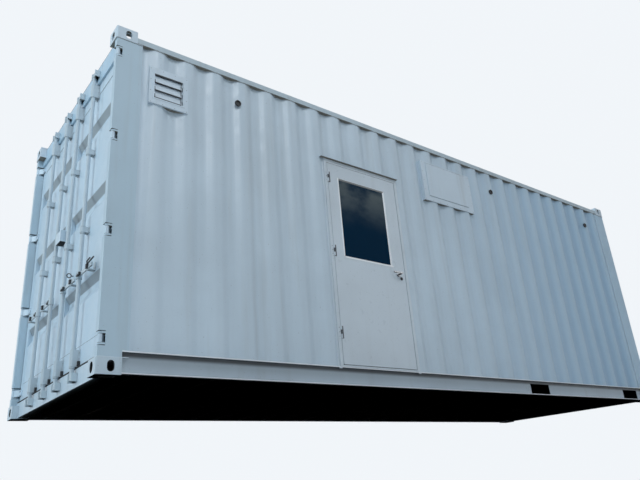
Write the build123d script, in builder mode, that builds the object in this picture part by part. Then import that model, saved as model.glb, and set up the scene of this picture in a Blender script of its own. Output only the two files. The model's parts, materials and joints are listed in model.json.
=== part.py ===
from build123d import *
import math
import os

os.makedirs("parts", exist_ok=True)

# Overall size of the container, over its corner castings
LENGTH = 7620.0
WIDTH = 2438.0
HEIGHT = 2896.0

# Corner castings and their apertures
CASTING_LENGTH = 178.0
CASTING_WIDTH = 162.0
CASTING_HEIGHT = 118.0
CASTING_WALL = 28.0
CASTING_INNER_WALL = 11.0
CASTING_CHAMFER = 9.0
SLOT_LENGTH = 124.0
SLOT_WIDTH = 63.5
SLOT_FROM_END = 102.5
SLOT_FROM_SIDE = 89.5
APERTURE_HEIGHT = 79.5
SIDE_APERTURE_WIDTH = 51.0
END_APERTURE_WIDTH = 63.5
APERTURE_FLATS = 5

# Sheet and section thicknesses
SHEET = 2.0
POST_PLATE = 6.0
RAIL_PLATE = 4.5

# Corner posts
POST_INSET = 8.0
POST_SIDE_INSET = 6.0
POST_DEPTH = 142.0
POST_INNER_FACE = 60.0
POST_STRIP_END = 225.0
DOOR_STOP_WIDTH = 30.0

# Side rails
TOP_RAIL_SIZE = 60.0
TOP_RAIL_DROP = 50.0
TOP_RAIL_INSET = 6.0
TOP_RAIL_WALL = 4.0
LIP_HEIGHT = 165.0
LIP_INSET = 4.0
LIP_WIDTH = 50.0
WEB_INSET = 24.0
RAIL_BOTTOM = 10.0
FOOT_OUT = 10.0
FOOT_IN = 34.0

# Fork lift pockets
POCKET_WIDTH = 360.0
POCKET_HEIGHT = 108.0
POCKET_BOTTOM = 22.0
POCKET_PLATE = 6.0
POCKET_FROM_FRONT = 499.0
POCKET_PITCH = 2050.0

# Floor and cross members
FLOOR_TOP = 160.0
FLOOR_THICKNESS = 28.0
FLOOR_END_GAP = 24.0
FLOOR_FRONT_GAP = 4.0
FLOOR_SIDE_GAP = 2.0
CROSS_WIDTH = 45.0
CROSS_PITCH = 305.0
CROSS_BOTTOM = 10.0

# Corrugated walls and roof
WALL_INSET = 10.0
WAVE_PITCH = 278.0
WAVE_DEPTH = 36.0
WAVE_SLOPE = 68.0
WAVE_FLAT = 71.0
FIRST_RECESS = 515.0
FRONT_WAVE_PITCH = 250.0
FRONT_WALL_SET_BACK = 12.0
ROOF_PITCH = 209.0
ROOF_DEPTH = 20.0
ROOF_SLOPE = 13.5
ROOF_RIB_FLOOR = 91.0
ROOF_SIDE_LAP = 20.0
ROOF_SIDE_FLAT = 100.0
ROOF_FLAT_END = 330.0

# Rear sill, header and front end rails
SILL_FACE = 60.0
SILL_TOP = 150.0
SILL_DEPTH = 84.0
HEADER_FACE = 60.0
HEADER_DEPTH = 84.0
HEADER_HEIGHT = 180.0
HEADER_DROP = 16.0
FRONT_RAIL_FACE = 10.0

# Cargo door leaves
LEAF_FACE = 78.0
LEAF_THICKNESS = 50.0
LEAF_EDGE_GAP = 8.0
LEAF_MEETING_GAP = 18.0
LEAF_GAP_BOTTOM = 10.0
LEAF_GAP_TOP = 9.0
STILE_WIDTH = 82.0
LEAF_TOP_RAIL = 100.0
LEAF_BOTTOM_RAIL = 165.0
FRAME_PLATE = 3.0
PANEL_SET_BACK = 2.0
GROOVE_DEPTH = 36.0
GROOVE_SLOPE = 68.0
GROOVE_FLOOR = 40.0
GROOVE_RAISE = 45.0
GROOVE_PITCH = 740.0
SEAL_WIDTH = 12.0
SEAL_PROUD = 3.0

# Cargo door hinges
HINGE_LOW = 246.0
HINGE_TOP_DROP = 250.0
HINGE_COUNT = 4
PIN_END_INSET = 26.0
PIN_SIDE_INSET = 26.0
PIN_RADIUS = 10.0
EYE_RADIUS = 17.0
EYE_CLEARANCE = 0.4
PIN_BORE_CLEARANCE = 0.05
PIN_END_GAP = 2.0
BLADE_HEIGHT = 60.0
BLADE_THICKNESS = 11.0
BLADE_NECK = 6.0
BLADE_REACH = 72.0
BLADE_ELBOW = 16.0
LUG_THICKNESS = 14.0
LUG_CLEARANCE = 2.0
LUG_ROOT = 12.0
NOTCH_LEAF_GAP = 8.0
NOTCH_HEIGHT = 102.0
NOTCH_REACH = 58.0

# Locking bars
BAR_INSET = 34.0
BAR_RADIUS = 16.5
BAR_INNER_OFFSET = 177.0
BAR_OUTER_OFFSET = 589.0
HUB_WALL = 7.0
CAM_Z_LOW = 82.0
CAM_TOP_DROP = 106.0
CAM_HEIGHT = 40.0
CAM_REACH = 44.0
CAM_THICKNESS = 16.0
CAM_NOSE = 16.5
CAM_NOSE_START = 27.0
CAM_NOSE_END = 39.0
HANDLE_Z = 885.0
HANDLE_LENGTH = 310.0
HANDLE_HEIGHT = 30.0
HANDLE_THICKNESS = 9.0
HANDLE_SET_OUT = 4.0
KEEPER_HEIGHT = 64.0
KEEPER_PLATE = 4.0
KEEPER_LUG = 10.0
KEEPER_CLEARANCE = 7.0
KEEPER_TIP = 14.0
GUIDE_LOW_RISE = 1117.0
GUIDE_HIGH_DROP = 691.0
GUIDE_HEIGHT = 50.0
GUIDE_CLEARANCE = 0.8
GUIDE_WALL = 5.0
GUIDE_FLANGE = 14.0
SLEEVE_CHAMFER = 13.0
BRACKET_HEIGHT = 130.0
BRACKET_EDGE_GAP = 4.0
CATCH_REACH = 232.0
CATCH_WIDTH = 44.0
CATCH_PLATE = 7.0
CATCH_RISE = 40.0
CATCH_FACE = 24.0
CATCH_CLEARANCE = 6.0

# Lock box at the meeting line of the leaves
LOCK_BOX_FACE = 18.0
LOCK_BOX_BOTTOM = 1400.0
LOCK_BOX_HEIGHT = 110.0
LOCK_BOX_PLATE = 4.0
LOCK_BOX_SIDE_GAP = 4.0
LOCK_BOX_BAR_GAP = 12.0

# Personnel door
DOOR_LEFT = 2110.0
DOOR_WIDTH = 990.0
DOOR_BOTTOM = 168.0
DOOR_TOP = 2236.0
JAMB_FACE = 34.0
JAMB_DEPTH = 98.0
DOOR_GAP = 7.0
DOOR_THICKNESS = 44.0
DOOR_SET_BACK = 2.0
STOP_DEPTH = 15.0
THRESHOLD_HEIGHT = 14.0
LIGHT_HINGE_MARGIN = 120.0
LIGHT_LOCK_MARGIN = 160.0
LIGHT_BOTTOM_MARGIN = 1019.0
LIGHT_TOP_MARGIN = 142.0
TRIM_LIP = 5.0
TRIM_PROUD = 1.5
TRIM_FLAT = 3.0
TRIM_WIDTH = 16.0
TRIM_CLEARANCE = 0.3
GLASS_THICKNESS = 24.0
GLASS_EDGE_GAP = 4.0
LEVER_BACKSET = 91.0
LEVER_RISE = 950.0
LEVER_LENGTH = 112.0
LEVER_HEIGHT = 20.0
LEVER_TIP_HEIGHT = 15.0
LEVER_THICKNESS = 13.0
LEVER_STAND = 58.0
NECK_RADIUS = 11.5
SPINDLE_RADIUS = 9.0
SPINDLE_CLEARANCE = 0.3
LOCK_BORE_CLEARANCE = 3.0
ROSE_RADIUS = 27.0
ROSE_THICKNESS = 9.0
BUTT_LOW_RISE = 285.0
BUTT_MIDDLE_RISE = 1069.0
BUTT_TOP_DROP = 157.0
BUTT_HEIGHT = 114.0
KNUCKLE_RADIUS = 7.0
KNUCKLE_STAND_OFF = 0.5
KNUCKLE_GAP = 0.6
HINGE_PIN_RADIUS = 3.5
HINGE_PIN_CLEARANCE = 0.15
HINGE_PLATE = 2.5
HINGE_PLATE_WIDTH = 28.0
HINGE_PLATE_CLEARANCE = 1.5
FLASHING_OUT = 28.0
FLASHING_HINGE_END = 50.0
FLASHING_LOCK_END = 6.0
FLASHING_SHEET = 2.0
FLASHING_SLOPE = 12.0
FLASHING_UPSTAND = 34.0

# Louvre vent
VENT_LEFT = 291.0
VENT_WIDTH = 352.0
VENT_DROP = 190.0
VENT_HEIGHT = 358.0
VENT_OPEN_WIDTH = 256.0
VENT_OPEN_HEIGHT = 233.0
VENT_PROUD = 8.0
VENT_STEP = 3.0
VENT_STEP_WIDTH = 17.0
VENT_BLADES = 3
VENT_FOOT_SLOT = 4.5
VENT_SLOT = 2.0
VENT_HEAD_SLOT = 10.0
VENT_BLADE_OUT = 6.0
VENT_BLADE_BACK = 8.5
VENT_BLADE_GAP = 8.0
BLADE_PLATE = 1.5

# Hatch cover
HATCH_LEFT = 3553.0
HATCH_WIDTH = 850.0
HATCH_DROP = 158.0
HATCH_HEIGHT = 504.0
FLAP_LEFT = 81.0
FLAP_WIDTH = 676.0
FLAP_RISE = 66.0
FLAP_HEIGHT = 417.0
FLAP_PROUD = 4.0
FLAP_GROOVE = 6.0
FLAP_GROOVE_DEPTH = 7.0
FLAP_LAP = 12.0

# Breather vents under the top rail
BREATHER_FROM_DOORS = 1146.0
BREATHER_PAST_HATCH = 417.0
BREATHER_LAST_FROM_FRONT = 610.0
BREATHER_DROP = 255.0
BREATHER_STEP = 8.0
BREATHER_RADIUS = 31.0
BREATHER_BORE = 23.0
BREATHER_PROUD = 15.0
BREATHER_BASE = 3.0

# Flats round the small round pieces, and the overshoot of a cut
SMALL_ROUND = 10
BREATHER_ROUND = 12
BAR_ROUND = 16
ROSE_ROUND = 20
OVER = 1.0

# Values that follow from the driving dimensions
HALF_L = LENGTH / 2
HALF_W = WIDTH / 2
TOP_RAIL_TOP = HEIGHT - TOP_RAIL_DROP
TOP_RAIL_BOTTOM = TOP_RAIL_TOP - TOP_RAIL_SIZE
POST_TOP = HEIGHT - CASTING_HEIGHT
WALL_INNER = WALL_INSET + WAVE_DEPTH + SHEET
FLOOR_UNDERSIDE = FLOOR_TOP - FLOOR_THICKNESS
HEADER_TOP = HEIGHT - HEADER_DROP
HEADER_BOTTOM = HEADER_TOP - HEADER_HEIGHT
LEAF_OUTER = POST_INNER_FACE + LEAF_EDGE_GAP
LEAF_MEETING = (WIDTH - LEAF_MEETING_GAP) / 2
LEAF_BOTTOM = SILL_TOP + LEAF_GAP_BOTTOM
LEAF_TOP = HEADER_BOTTOM - LEAF_GAP_TOP
LEAF_BACK = LEAF_FACE + LEAF_THICKNESS
PANEL_LOW = LEAF_BOTTOM + LEAF_BOTTOM_RAIL
PANEL_HIGH = LEAF_TOP - LEAF_TOP_RAIL
CAM_Z_HIGH = HEIGHT - CAM_TOP_DROP
HINGE_PITCH = (HEIGHT - HINGE_TOP_DROP - HINGE_LOW) / (HINGE_COUNT - 1)
HINGE_HEIGHTS = [HINGE_LOW + HINGE_PITCH * i for i in range(HINGE_COUNT)]
BAR_OFFSETS = (BAR_INNER_OFFSET, BAR_OUTER_OFFSET)
DOOR_RIGHT = DOOR_LEFT + DOOR_WIDTH
LEAF_X0 = DOOR_LEFT + JAMB_FACE + DOOR_GAP
LEAF_X1 = DOOR_RIGHT - JAMB_FACE - DOOR_GAP
LEAF_Z0 = DOOR_BOTTOM + THRESHOLD_HEIGHT + DOOR_GAP
LEAF_Z1 = DOOR_TOP - JAMB_FACE - DOOR_GAP
LIGHT_LEFT = LEAF_X0 + LIGHT_HINGE_MARGIN
LIGHT_RIGHT = LEAF_X1 - LIGHT_LOCK_MARGIN
LIGHT_BOTTOM = LEAF_Z0 + LIGHT_BOTTOM_MARGIN
LIGHT_TOP = LEAF_Z1 - LIGHT_TOP_MARGIN
LIGHT_WIDTH = LIGHT_RIGHT - LIGHT_LEFT
LIGHT_HEIGHT = LIGHT_TOP - LIGHT_BOTTOM
LEVER_X = LEAF_X1 - LEVER_BACKSET
LEVER_Z = LEAF_Z0 + LEVER_RISE
BUTT_LEVELS = (LEAF_Z0 + BUTT_LOW_RISE, LEAF_Z0 + BUTT_MIDDLE_RISE, LEAF_Z1 - BUTT_TOP_DROP)
VENT_TOP = TOP_RAIL_BOTTOM - VENT_DROP
VENT_BOTTOM = VENT_TOP - VENT_HEIGHT
HATCH_BOTTOM = TOP_RAIL_BOTTOM - HATCH_DROP - HATCH_HEIGHT
SIDES = {"right": -1, "left": 1}


def save(builder, label):
    """Label a finished piece and write its file."""
    builder.part.label = label
    export_step(builder.part, f"parts/{label}.step")


def end_x(inset):
    """X of a point that lies inset from the cargo door end."""
    return -HALF_L + inset


def side_y(inset, side=-1):
    """Y of a point that lies inset from the side face on the given side."""
    return side * (HALF_W - inset)


def plan(points, low, high, mode=Mode.ADD):
    """Extrude a plan outline from one height to another."""
    with BuildSketch(Plane.XY.offset(low)) as face_sketch:
        with BuildLine():
            Polyline(*points, close=True)
        make_face()
    extrude(face_sketch.sketch, amount=high - low, mode=mode)


def plan_box(x0, x1, y0, y1, low, high, mode=Mode.ADD):
    """Extrude a plan rectangle from one height to another."""
    with BuildSketch(Plane.XY.offset(low)) as face_sketch:
        with Locations(((x0 + x1) / 2, (y0 + y1) / 2)):
            Rectangle(abs(x1 - x0), abs(y1 - y0))
    extrude(face_sketch.sketch, amount=high - low, mode=mode)


def along_x(points, x0, x1, mode=Mode.ADD):
    """Extrude a (y, z) section along the length."""
    with BuildSketch(Plane.YZ.offset(x0)) as face_sketch:
        with BuildLine():
            Polyline(*points, close=True)
        make_face()
    extrude(face_sketch.sketch, amount=x1 - x0, mode=mode)


def along_y(points, y0, y1, mode=Mode.ADD):
    """Extrude an (x, z) section across the width, from y0 towards +Y to y1."""
    with BuildSketch(Plane.XZ.offset(-y0)) as face_sketch:
        with BuildLine():
            Polyline(*points, close=True)
        make_face()
    extrude(face_sketch.sketch, amount=-(y1 - y0), mode=mode)


def round_piece(radius, low, high, centre, sides=SMALL_ROUND, mode=Mode.ADD):
    """An upright round piece made of flats, with its corners on the radius."""
    with BuildSketch(Plane.XY.offset(low)) as face_sketch:
        with Locations(centre):
            RegularPolygon(radius, sides)
    extrude(face_sketch.sketch, amount=high - low, mode=mode)


def wave_line(start, stop, first, pitch, slope, flat, depth):
    """Points (along, depth) of a trapezoid wave between two ends, 0 being the outer level."""
    half = flat / 2
    corners = []
    count = int((stop - first) / pitch) + 2
    for i in range(-count, count + 1):
        centre = first + i * pitch
        corners.append((centre - half - slope, 0.0))
        corners.append((centre - half, depth))
        corners.append((centre + half, depth))
        corners.append((centre + half + slope, 0.0))

    def level(at):
        for (a0, d0), (a1, d1) in zip(corners, corners[1:]):
            if a0 <= at <= a1:
                return d0 + (d1 - d0) * (at - a0) / (a1 - a0)
        return 0.0

    inner = [c for c in corners if start + OVER < c[0] < stop - OVER]
    return [(start, level(start))] + inner + [(stop, level(stop))]


def sheet_outline(line, thickness):
    """Close a wave line into a sheet of the given thickness on its inner side."""
    return line + [(a, d + thickness) for a, d in reversed(line)]


def aperture_points(centre, height, width):
    """Corners of an upright slot whose round ends are made of flats."""
    radius = width / 2
    reach = height / 2 - radius
    points = []
    for start in (0.0, math.pi):
        lift = reach if start == 0.0 else -reach
        for i in range(APERTURE_FLATS + 1):
            turn = start + math.pi * i / APERTURE_FLATS
            points.append((centre[0] + radius * math.cos(turn), centre[1] + lift + radius * math.sin(turn)))
    return points


def corner_casting(end, side, top):
    """One hollow corner casting with an aperture in each of its three outer faces."""
    x_out = end * HALF_L
    y_out = side * HALF_W
    x_in = x_out - end * CASTING_LENGTH
    y_in = y_out - side * CASTING_WIDTH
    low = HEIGHT - CASTING_HEIGHT if top else 0.0
    high = low + CASTING_HEIGHT
    cut_x = x_out - end * CASTING_CHAMFER
    cut_y = y_out - side * CASTING_CHAMFER
    plan([(cut_x, y_out), (x_in, y_out), (x_in, y_in), (x_out, y_in), (x_out, cut_y)], low, high)
    plan_box(
        x_out - end * CASTING_WALL,
        x_in + end * CASTING_INNER_WALL,
        y_out - side * CASTING_WALL,
        y_in + side * CASTING_INNER_WALL,
        low + CASTING_WALL,
        high - CASTING_WALL,
        mode=Mode.SUBTRACT,
    )
    slot_x = x_out - end * SLOT_FROM_END
    slot_y = y_out - side * SLOT_FROM_SIDE
    with BuildSketch(Plane.XY.offset(high - CASTING_WALL if top else low)) as face_sketch:
        with Locations((slot_x, slot_y)):
            SlotOverall(SLOT_LENGTH, SLOT_WIDTH)
    extrude(face_sketch.sketch, amount=CASTING_WALL, mode=Mode.SUBTRACT)
    middle = low + CASTING_HEIGHT / 2
    side_hole = aperture_points((slot_x, middle), APERTURE_HEIGHT, SIDE_APERTURE_WIDTH)
    end_hole = aperture_points((slot_y, middle), APERTURE_HEIGHT, END_APERTURE_WIDTH)
    inner_y = y_out - side * CASTING_WALL
    inner_x = x_out - end * CASTING_WALL
    along_y(side_hole, min(inner_y, y_out), max(inner_y, y_out), mode=Mode.SUBTRACT)
    along_x(end_hole, min(inner_x, x_out), max(inner_x, x_out), mode=Mode.SUBTRACT)


# Corner castings, one node for each end at each level
for end_name, end in (("rear", -1), ("front", 1)):
    for level_name, is_top in (("bottom", False), ("top", True)):
        with BuildPart() as castings:
            for side in SIDES.values():
                corner_casting(end, side, is_top)
        save(castings, f"{end_name}_{level_name}_castings")


def post_profile(end, side, low, high, with_stop):
    """A corner post: a closed outer box, the strip that meets the wall and, at the doors, a door stop."""

    def at(a, b):
        return (end * (HALF_L - a), side_y(b, side))

    back = POST_INSET + POST_DEPTH
    inner = POST_INNER_FACE
    wall = POST_PLATE
    strip_inner = POST_SIDE_INSET + wall
    outline = [at(POST_INSET, POST_SIDE_INSET), at(CASTING_LENGTH, POST_SIDE_INSET)]
    outline += [at(CASTING_LENGTH, strip_inner), at(back, strip_inner)]
    if with_stop:
        stop = inner + DOOR_STOP_WIDTH
        outline += [at(back, stop), at(back - wall, stop), at(back - wall, inner)]
    else:
        outline += [at(back, inner)]
    outline += [at(POST_INSET, inner)]
    plan(outline, low, high)
    strip = [
        at(CASTING_LENGTH, POST_SIDE_INSET),
        at(POST_STRIP_END, POST_SIDE_INSET),
        at(POST_STRIP_END, strip_inner),
        at(CASTING_LENGTH, strip_inner),
    ]
    plan(strip, LIP_HEIGHT, TOP_RAIL_BOTTOM)
    hollow = [
        at(POST_INSET + wall, strip_inner),
        at(back - wall, strip_inner),
        at(back - wall, inner - wall),
        at(POST_INSET + wall, inner - wall),
    ]
    plan(hollow, low, high, mode=Mode.SUBTRACT)


def clear_castings():
    """Cut the corners of a rail or panel back to the corner castings."""
    for end in (-1, 1):
        for side in SIDES.values():
            x_out = end * (HALF_L + OVER)
            y_out = side * (HALF_W + OVER)
            x_in = end * (HALF_L - CASTING_LENGTH)
            y_in = side * (HALF_W - CASTING_WIDTH)
            for low in (0.0, POST_TOP):
                plan_box(x_out, x_in, y_out, y_in, low, low + CASTING_HEIGHT, mode=Mode.SUBTRACT)


def hinge_pin_centre(side):
    """Plan position of the cargo door hinge pins on one side."""
    return (end_x(PIN_END_INSET), side_y(PIN_SIDE_INSET, side))


def hinge_notch(side, height):
    """Open the post's corner round one hinge and set a pair of bored lugs in it."""
    low = height - NOTCH_HEIGHT / 2
    high = height + NOTCH_HEIGHT / 2
    inner = side_y(POST_INNER_FACE + OVER, side)
    plate = side_y(POST_INNER_FACE - POST_PLATE - OVER, side)
    plan_box(end_x(-OVER), end_x(NOTCH_REACH), side_y(-OVER, side), inner, low, high, mode=Mode.SUBTRACT)
    back = end_x(LEAF_FACE + NOTCH_LEAF_GAP)
    plan_box(end_x(NOTCH_REACH), back, plate, inner, low, high, mode=Mode.SUBTRACT)
    pin = hinge_pin_centre(side)
    root = end_x(NOTCH_REACH + LUG_ROOT)
    lug_in = side_y(PIN_SIDE_INSET + EYE_RADIUS, side)
    for sign in (-1, 1):
        near = height + sign * (BLADE_HEIGHT / 2 + LUG_CLEARANCE)
        base = near if sign > 0 else near - LUG_THICKNESS
        round_piece(EYE_RADIUS, base, base + LUG_THICKNESS, pin)
        plan_box(pin[0], root, side_y(POST_SIDE_INSET, side), lug_in, base, base + LUG_THICKNESS)
        round_piece(PIN_RADIUS + PIN_BORE_CLEARANCE, base, base + LUG_THICKNESS, pin, mode=Mode.SUBTRACT)


# Rear corner posts with the notches and lugs of the cargo door hinges
with BuildPart() as rear_posts:
    for side in SIDES.values():
        post_profile(-1, side, CASTING_HEIGHT, POST_TOP, True)
        for height in HINGE_HEIGHTS:
            hinge_notch(side, height)
save(rear_posts, "rear_posts")

# Front corner posts
with BuildPart() as front_posts:
    for side in SIDES.values():
        post_profile(1, side, CASTING_HEIGHT, POST_TOP, False)
save(front_posts, "front_posts")

# Hinge pins of the cargo doors
with BuildPart() as hinge_pins:
    half_pin = NOTCH_HEIGHT / 2 - PIN_END_GAP
    for side in SIDES.values():
        for height in HINGE_HEIGHTS:
            round_piece(PIN_RADIUS, height - half_pin, height + half_pin, hinge_pin_centre(side))
save(hinge_pins, "cargo_hinge_pins")


def bottom_rail(side):
    """A pressed bottom side rail with its overhanging lip, web and foot."""
    lip_in = LIP_INSET + LIP_WIDTH
    web_in = WEB_INSET + RAIL_PLATE
    section = [
        (LIP_INSET, LIP_HEIGHT),
        (lip_in, LIP_HEIGHT),
        (lip_in, LIP_HEIGHT - RAIL_PLATE),
        (web_in, LIP_HEIGHT - RAIL_PLATE),
        (web_in, RAIL_BOTTOM + RAIL_PLATE),
        (web_in + FOOT_IN, RAIL_BOTTOM + RAIL_PLATE),
        (web_in + FOOT_IN, RAIL_BOTTOM),
        (WEB_INSET - FOOT_OUT, RAIL_BOTTOM),
        (WEB_INSET - FOOT_OUT, RAIL_BOTTOM + RAIL_PLATE),
        (WEB_INSET, RAIL_BOTTOM + RAIL_PLATE),
        (WEB_INSET, LIP_HEIGHT - RAIL_PLATE),
        (LIP_INSET, LIP_HEIGHT - RAIL_PLATE),
    ]
    along_x([(side_y(b, side), z) for b, z in section], -HALF_L + CASTING_LENGTH, HALF_L - CASTING_LENGTH)
    for centre in pocket_centres():
        plan_box(
            centre - POCKET_WIDTH / 2,
            centre + POCKET_WIDTH / 2,
            side_y(0, side),
            side_y(web_in + FOOT_IN + OVER, side),
            POCKET_BOTTOM,
            POCKET_BOTTOM + POCKET_HEIGHT,
            mode=Mode.SUBTRACT,
        )


def pocket_centres():
    """X of the two fork pockets."""
    last = HALF_L - POCKET_FROM_FRONT
    return [last - POCKET_PITCH, last]


# Bottom side rails
for name, side in SIDES.items():
    with BuildPart() as rail:
        bottom_rail(side)
    save(rail, f"{name}_bottom_rail")

# Top side rails, square tubes between the castings
with BuildPart() as top_rails:
    bore = TOP_RAIL_SIZE - 2 * TOP_RAIL_WALL
    for side in SIDES.values():
        centre = (side_y(TOP_RAIL_INSET + TOP_RAIL_SIZE / 2, side), TOP_RAIL_TOP - TOP_RAIL_SIZE / 2)
        with BuildSketch(Plane.YZ.offset(-HALF_L + CASTING_LENGTH)):
            with Locations(centre):
                Rectangle(TOP_RAIL_SIZE, TOP_RAIL_SIZE)
            chamfer(vertices(), TOP_RAIL_WALL)
            with Locations(centre):
                Rectangle(bore, bore, mode=Mode.SUBTRACT)
        extrude(amount=LENGTH - 2 * CASTING_LENGTH)
save(top_rails, "top_side_rails")

# Fork pockets, open from side to side and to the ground between their plates
with BuildPart() as fork_pockets:
    for centre in pocket_centres():
        outer_x = POCKET_WIDTH / 2 + POCKET_PLATE
        roof = POCKET_BOTTOM + POCKET_HEIGHT
        section = [
            (centre - outer_x, RAIL_BOTTOM + RAIL_PLATE),
            (centre - POCKET_WIDTH / 2, RAIL_BOTTOM + RAIL_PLATE),
            (centre - POCKET_WIDTH / 2, roof),
            (centre + POCKET_WIDTH / 2, roof),
            (centre + POCKET_WIDTH / 2, RAIL_BOTTOM + RAIL_PLATE),
            (centre + outer_x, RAIL_BOTTOM + RAIL_PLATE),
            (centre + outer_x, FLOOR_UNDERSIDE),
            (centre - outer_x, FLOOR_UNDERSIDE),
        ]
        along_y(section, side_y(WEB_INSET + RAIL_PLATE), side_y(WEB_INSET + RAIL_PLATE, 1))
save(fork_pockets, "fork_pockets")


def cross_member(x):
    """One pressed channel under the floor."""
    top = FLOOR_UNDERSIDE
    flange = CROSS_WIDTH
    t = RAIL_PLATE
    section = [
        (x, CROSS_BOTTOM + t),
        (x + flange, CROSS_BOTTOM + t),
        (x + flange, CROSS_BOTTOM + 2 * t),
        (x + t, CROSS_BOTTOM + 2 * t),
        (x + t, top - t),
        (x + flange, top - t),
        (x + flange, top),
        (x, top),
    ]
    along_y(section, side_y(WEB_INSET + RAIL_PLATE), side_y(WEB_INSET + RAIL_PLATE, 1))


# Cross members, spaced evenly and left out where a pocket runs
with BuildPart() as cross_members:
    start = -HALF_L + SILL_FACE + SILL_DEPTH + CROSS_PITCH / 2
    count = int((LENGTH - 2 * (SILL_FACE + SILL_DEPTH)) / CROSS_PITCH)
    for i in range(count):
        x = start + i * CROSS_PITCH
        clear = POCKET_WIDTH / 2 + POCKET_PLATE + 2 * RAIL_PLATE
        if all(x > c + clear or x + CROSS_WIDTH < c - clear for c in pocket_centres()):
            cross_member(x)
save(cross_members, "cross_members")

# Plywood floor
with BuildPart() as floor:
    edge = POST_INNER_FACE + FLOOR_SIDE_GAP
    plan_box(
        end_x(LEAF_BACK + FLOOR_END_GAP),
        HALF_L - WALL_INNER - FLOOR_FRONT_GAP,
        side_y(edge),
        side_y(edge, 1),
        FLOOR_UNDERSIDE,
        FLOOR_TOP,
    )
save(floor, "plywood_floor")

# Rear door sill, a pressed channel between the castings
with BuildPart() as door_sill:
    t = POST_PLATE
    back = SILL_FACE + SILL_DEPTH
    section = [
        (end_x(SILL_FACE), RAIL_BOTTOM),
        (end_x(back), RAIL_BOTTOM),
        (end_x(back), RAIL_BOTTOM + t),
        (end_x(SILL_FACE + t), RAIL_BOTTOM + t),
        (end_x(SILL_FACE + t), SILL_TOP - t),
        (end_x(back), SILL_TOP - t),
        (end_x(back), SILL_TOP),
        (end_x(SILL_FACE), SILL_TOP),
    ]
    along_y(section, side_y(POST_INNER_FACE), side_y(POST_INNER_FACE, 1))
    clear_castings()
save(door_sill, "door_sill")

# Rear door header, a pressed box between the posts
with BuildPart() as door_header:
    t = RAIL_PLATE
    back = HEADER_FACE + HEADER_DEPTH
    outline = [
        (end_x(HEADER_FACE), HEADER_BOTTOM),
        (end_x(back), HEADER_BOTTOM),
        (end_x(back), HEADER_TOP),
        (end_x(HEADER_FACE), HEADER_TOP),
    ]
    hollow = [
        (end_x(HEADER_FACE + t), HEADER_BOTTOM + t),
        (end_x(back - t), HEADER_BOTTOM + t),
        (end_x(back - t), HEADER_TOP - t),
        (end_x(HEADER_FACE + t), HEADER_TOP - t),
    ]
    along_y(outline, side_y(POST_INNER_FACE), side_y(POST_INNER_FACE, 1))
    along_y(hollow, side_y(POST_INNER_FACE), side_y(POST_INNER_FACE, 1), mode=Mode.SUBTRACT)
    clear_castings()
save(door_header, "door_header")

# Front end rails: a channel at the floor and a tube at the roof
with BuildPart() as front_rails:
    t = RAIL_PLATE
    x_face = HALF_L - FRONT_RAIL_FACE
    x_back = x_face - TOP_RAIL_SIZE
    along_y(
        [
            (x_face, RAIL_BOTTOM),
            (x_back, RAIL_BOTTOM),
            (x_back, RAIL_BOTTOM + t),
            (x_face - t, RAIL_BOTTOM + t),
            (x_face - t, LIP_HEIGHT - t),
            (x_back, LIP_HEIGHT - t),
            (x_back, LIP_HEIGHT),
            (x_face, LIP_HEIGHT),
        ],
        side_y(POST_INNER_FACE),
        side_y(POST_INNER_FACE, 1),
    )
    clear_castings()
    tube_height = TOP_RAIL_TOP - POST_TOP
    centre = ((x_face + x_back) / 2, TOP_RAIL_TOP - tube_height / 2)
    with BuildSketch(Plane.XZ.offset(-side_y(CASTING_WIDTH))):
        with Locations(centre):
            Rectangle(TOP_RAIL_SIZE, tube_height)
        chamfer(vertices(), TOP_RAIL_WALL)
        with Locations(centre):
            Rectangle(TOP_RAIL_SIZE - 2 * TOP_RAIL_WALL, tube_height - 2 * TOP_RAIL_WALL, mode=Mode.SUBTRACT)
    extrude(amount=-(WIDTH - 2 * CASTING_WIDTH))
save(front_rails, "front_end_rails")


def side_wall_sheet(side, x0, x1, low, high):
    """A corrugated side wall sheet between two distances from the door end."""
    line = wave_line(x0, x1, FIRST_RECESS, WAVE_PITCH, WAVE_SLOPE, WAVE_FLAT, WAVE_DEPTH)
    outline = [(end_x(a), side_y(WALL_INSET + d, side)) for a, d in sheet_outline(line, SHEET)]
    plan(outline, low, high)


def wall_cut(x0, width, low, height):
    """Cut an opening through the near wall."""
    inner = side_y(WALL_INNER + OVER)
    plan_box(end_x(x0), end_x(x0 + width), side_y(0), inner, low, low + height, mode=Mode.SUBTRACT)


def vent_margins():
    """Widths of the louvre vent's frame beside and above its opening."""
    return (VENT_WIDTH - VENT_OPEN_WIDTH) / 2, (VENT_HEIGHT - VENT_OPEN_HEIGHT) / 2


WALL_START = POST_STRIP_END
WALL_END = LENGTH - POST_STRIP_END

# Near wall, split at the doorway
with BuildPart() as wall_vent:
    side_wall_sheet(-1, WALL_START, DOOR_LEFT, LIP_HEIGHT, TOP_RAIL_BOTTOM)
    margin_x, margin_z = vent_margins()
    wall_cut(VENT_LEFT + margin_x, VENT_OPEN_WIDTH, VENT_BOTTOM + margin_z, VENT_OPEN_HEIGHT)
save(wall_vent, "right_wall_behind_door")

with BuildPart() as wall_over:
    side_wall_sheet(-1, DOOR_LEFT, DOOR_RIGHT, DOOR_TOP, TOP_RAIL_BOTTOM)
save(wall_over, "right_wall_over_door")

with BuildPart() as wall_hatch:
    side_wall_sheet(-1, DOOR_RIGHT, WALL_END, LIP_HEIGHT, TOP_RAIL_BOTTOM)
    wall_cut(
        HATCH_LEFT + FLAP_LEFT + FLAP_LAP,
        FLAP_WIDTH - 2 * FLAP_LAP,
        HATCH_BOTTOM + FLAP_RISE + FLAP_LAP,
        FLAP_HEIGHT - 2 * FLAP_LAP,
    )
save(wall_hatch, "right_wall_front_part")

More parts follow.
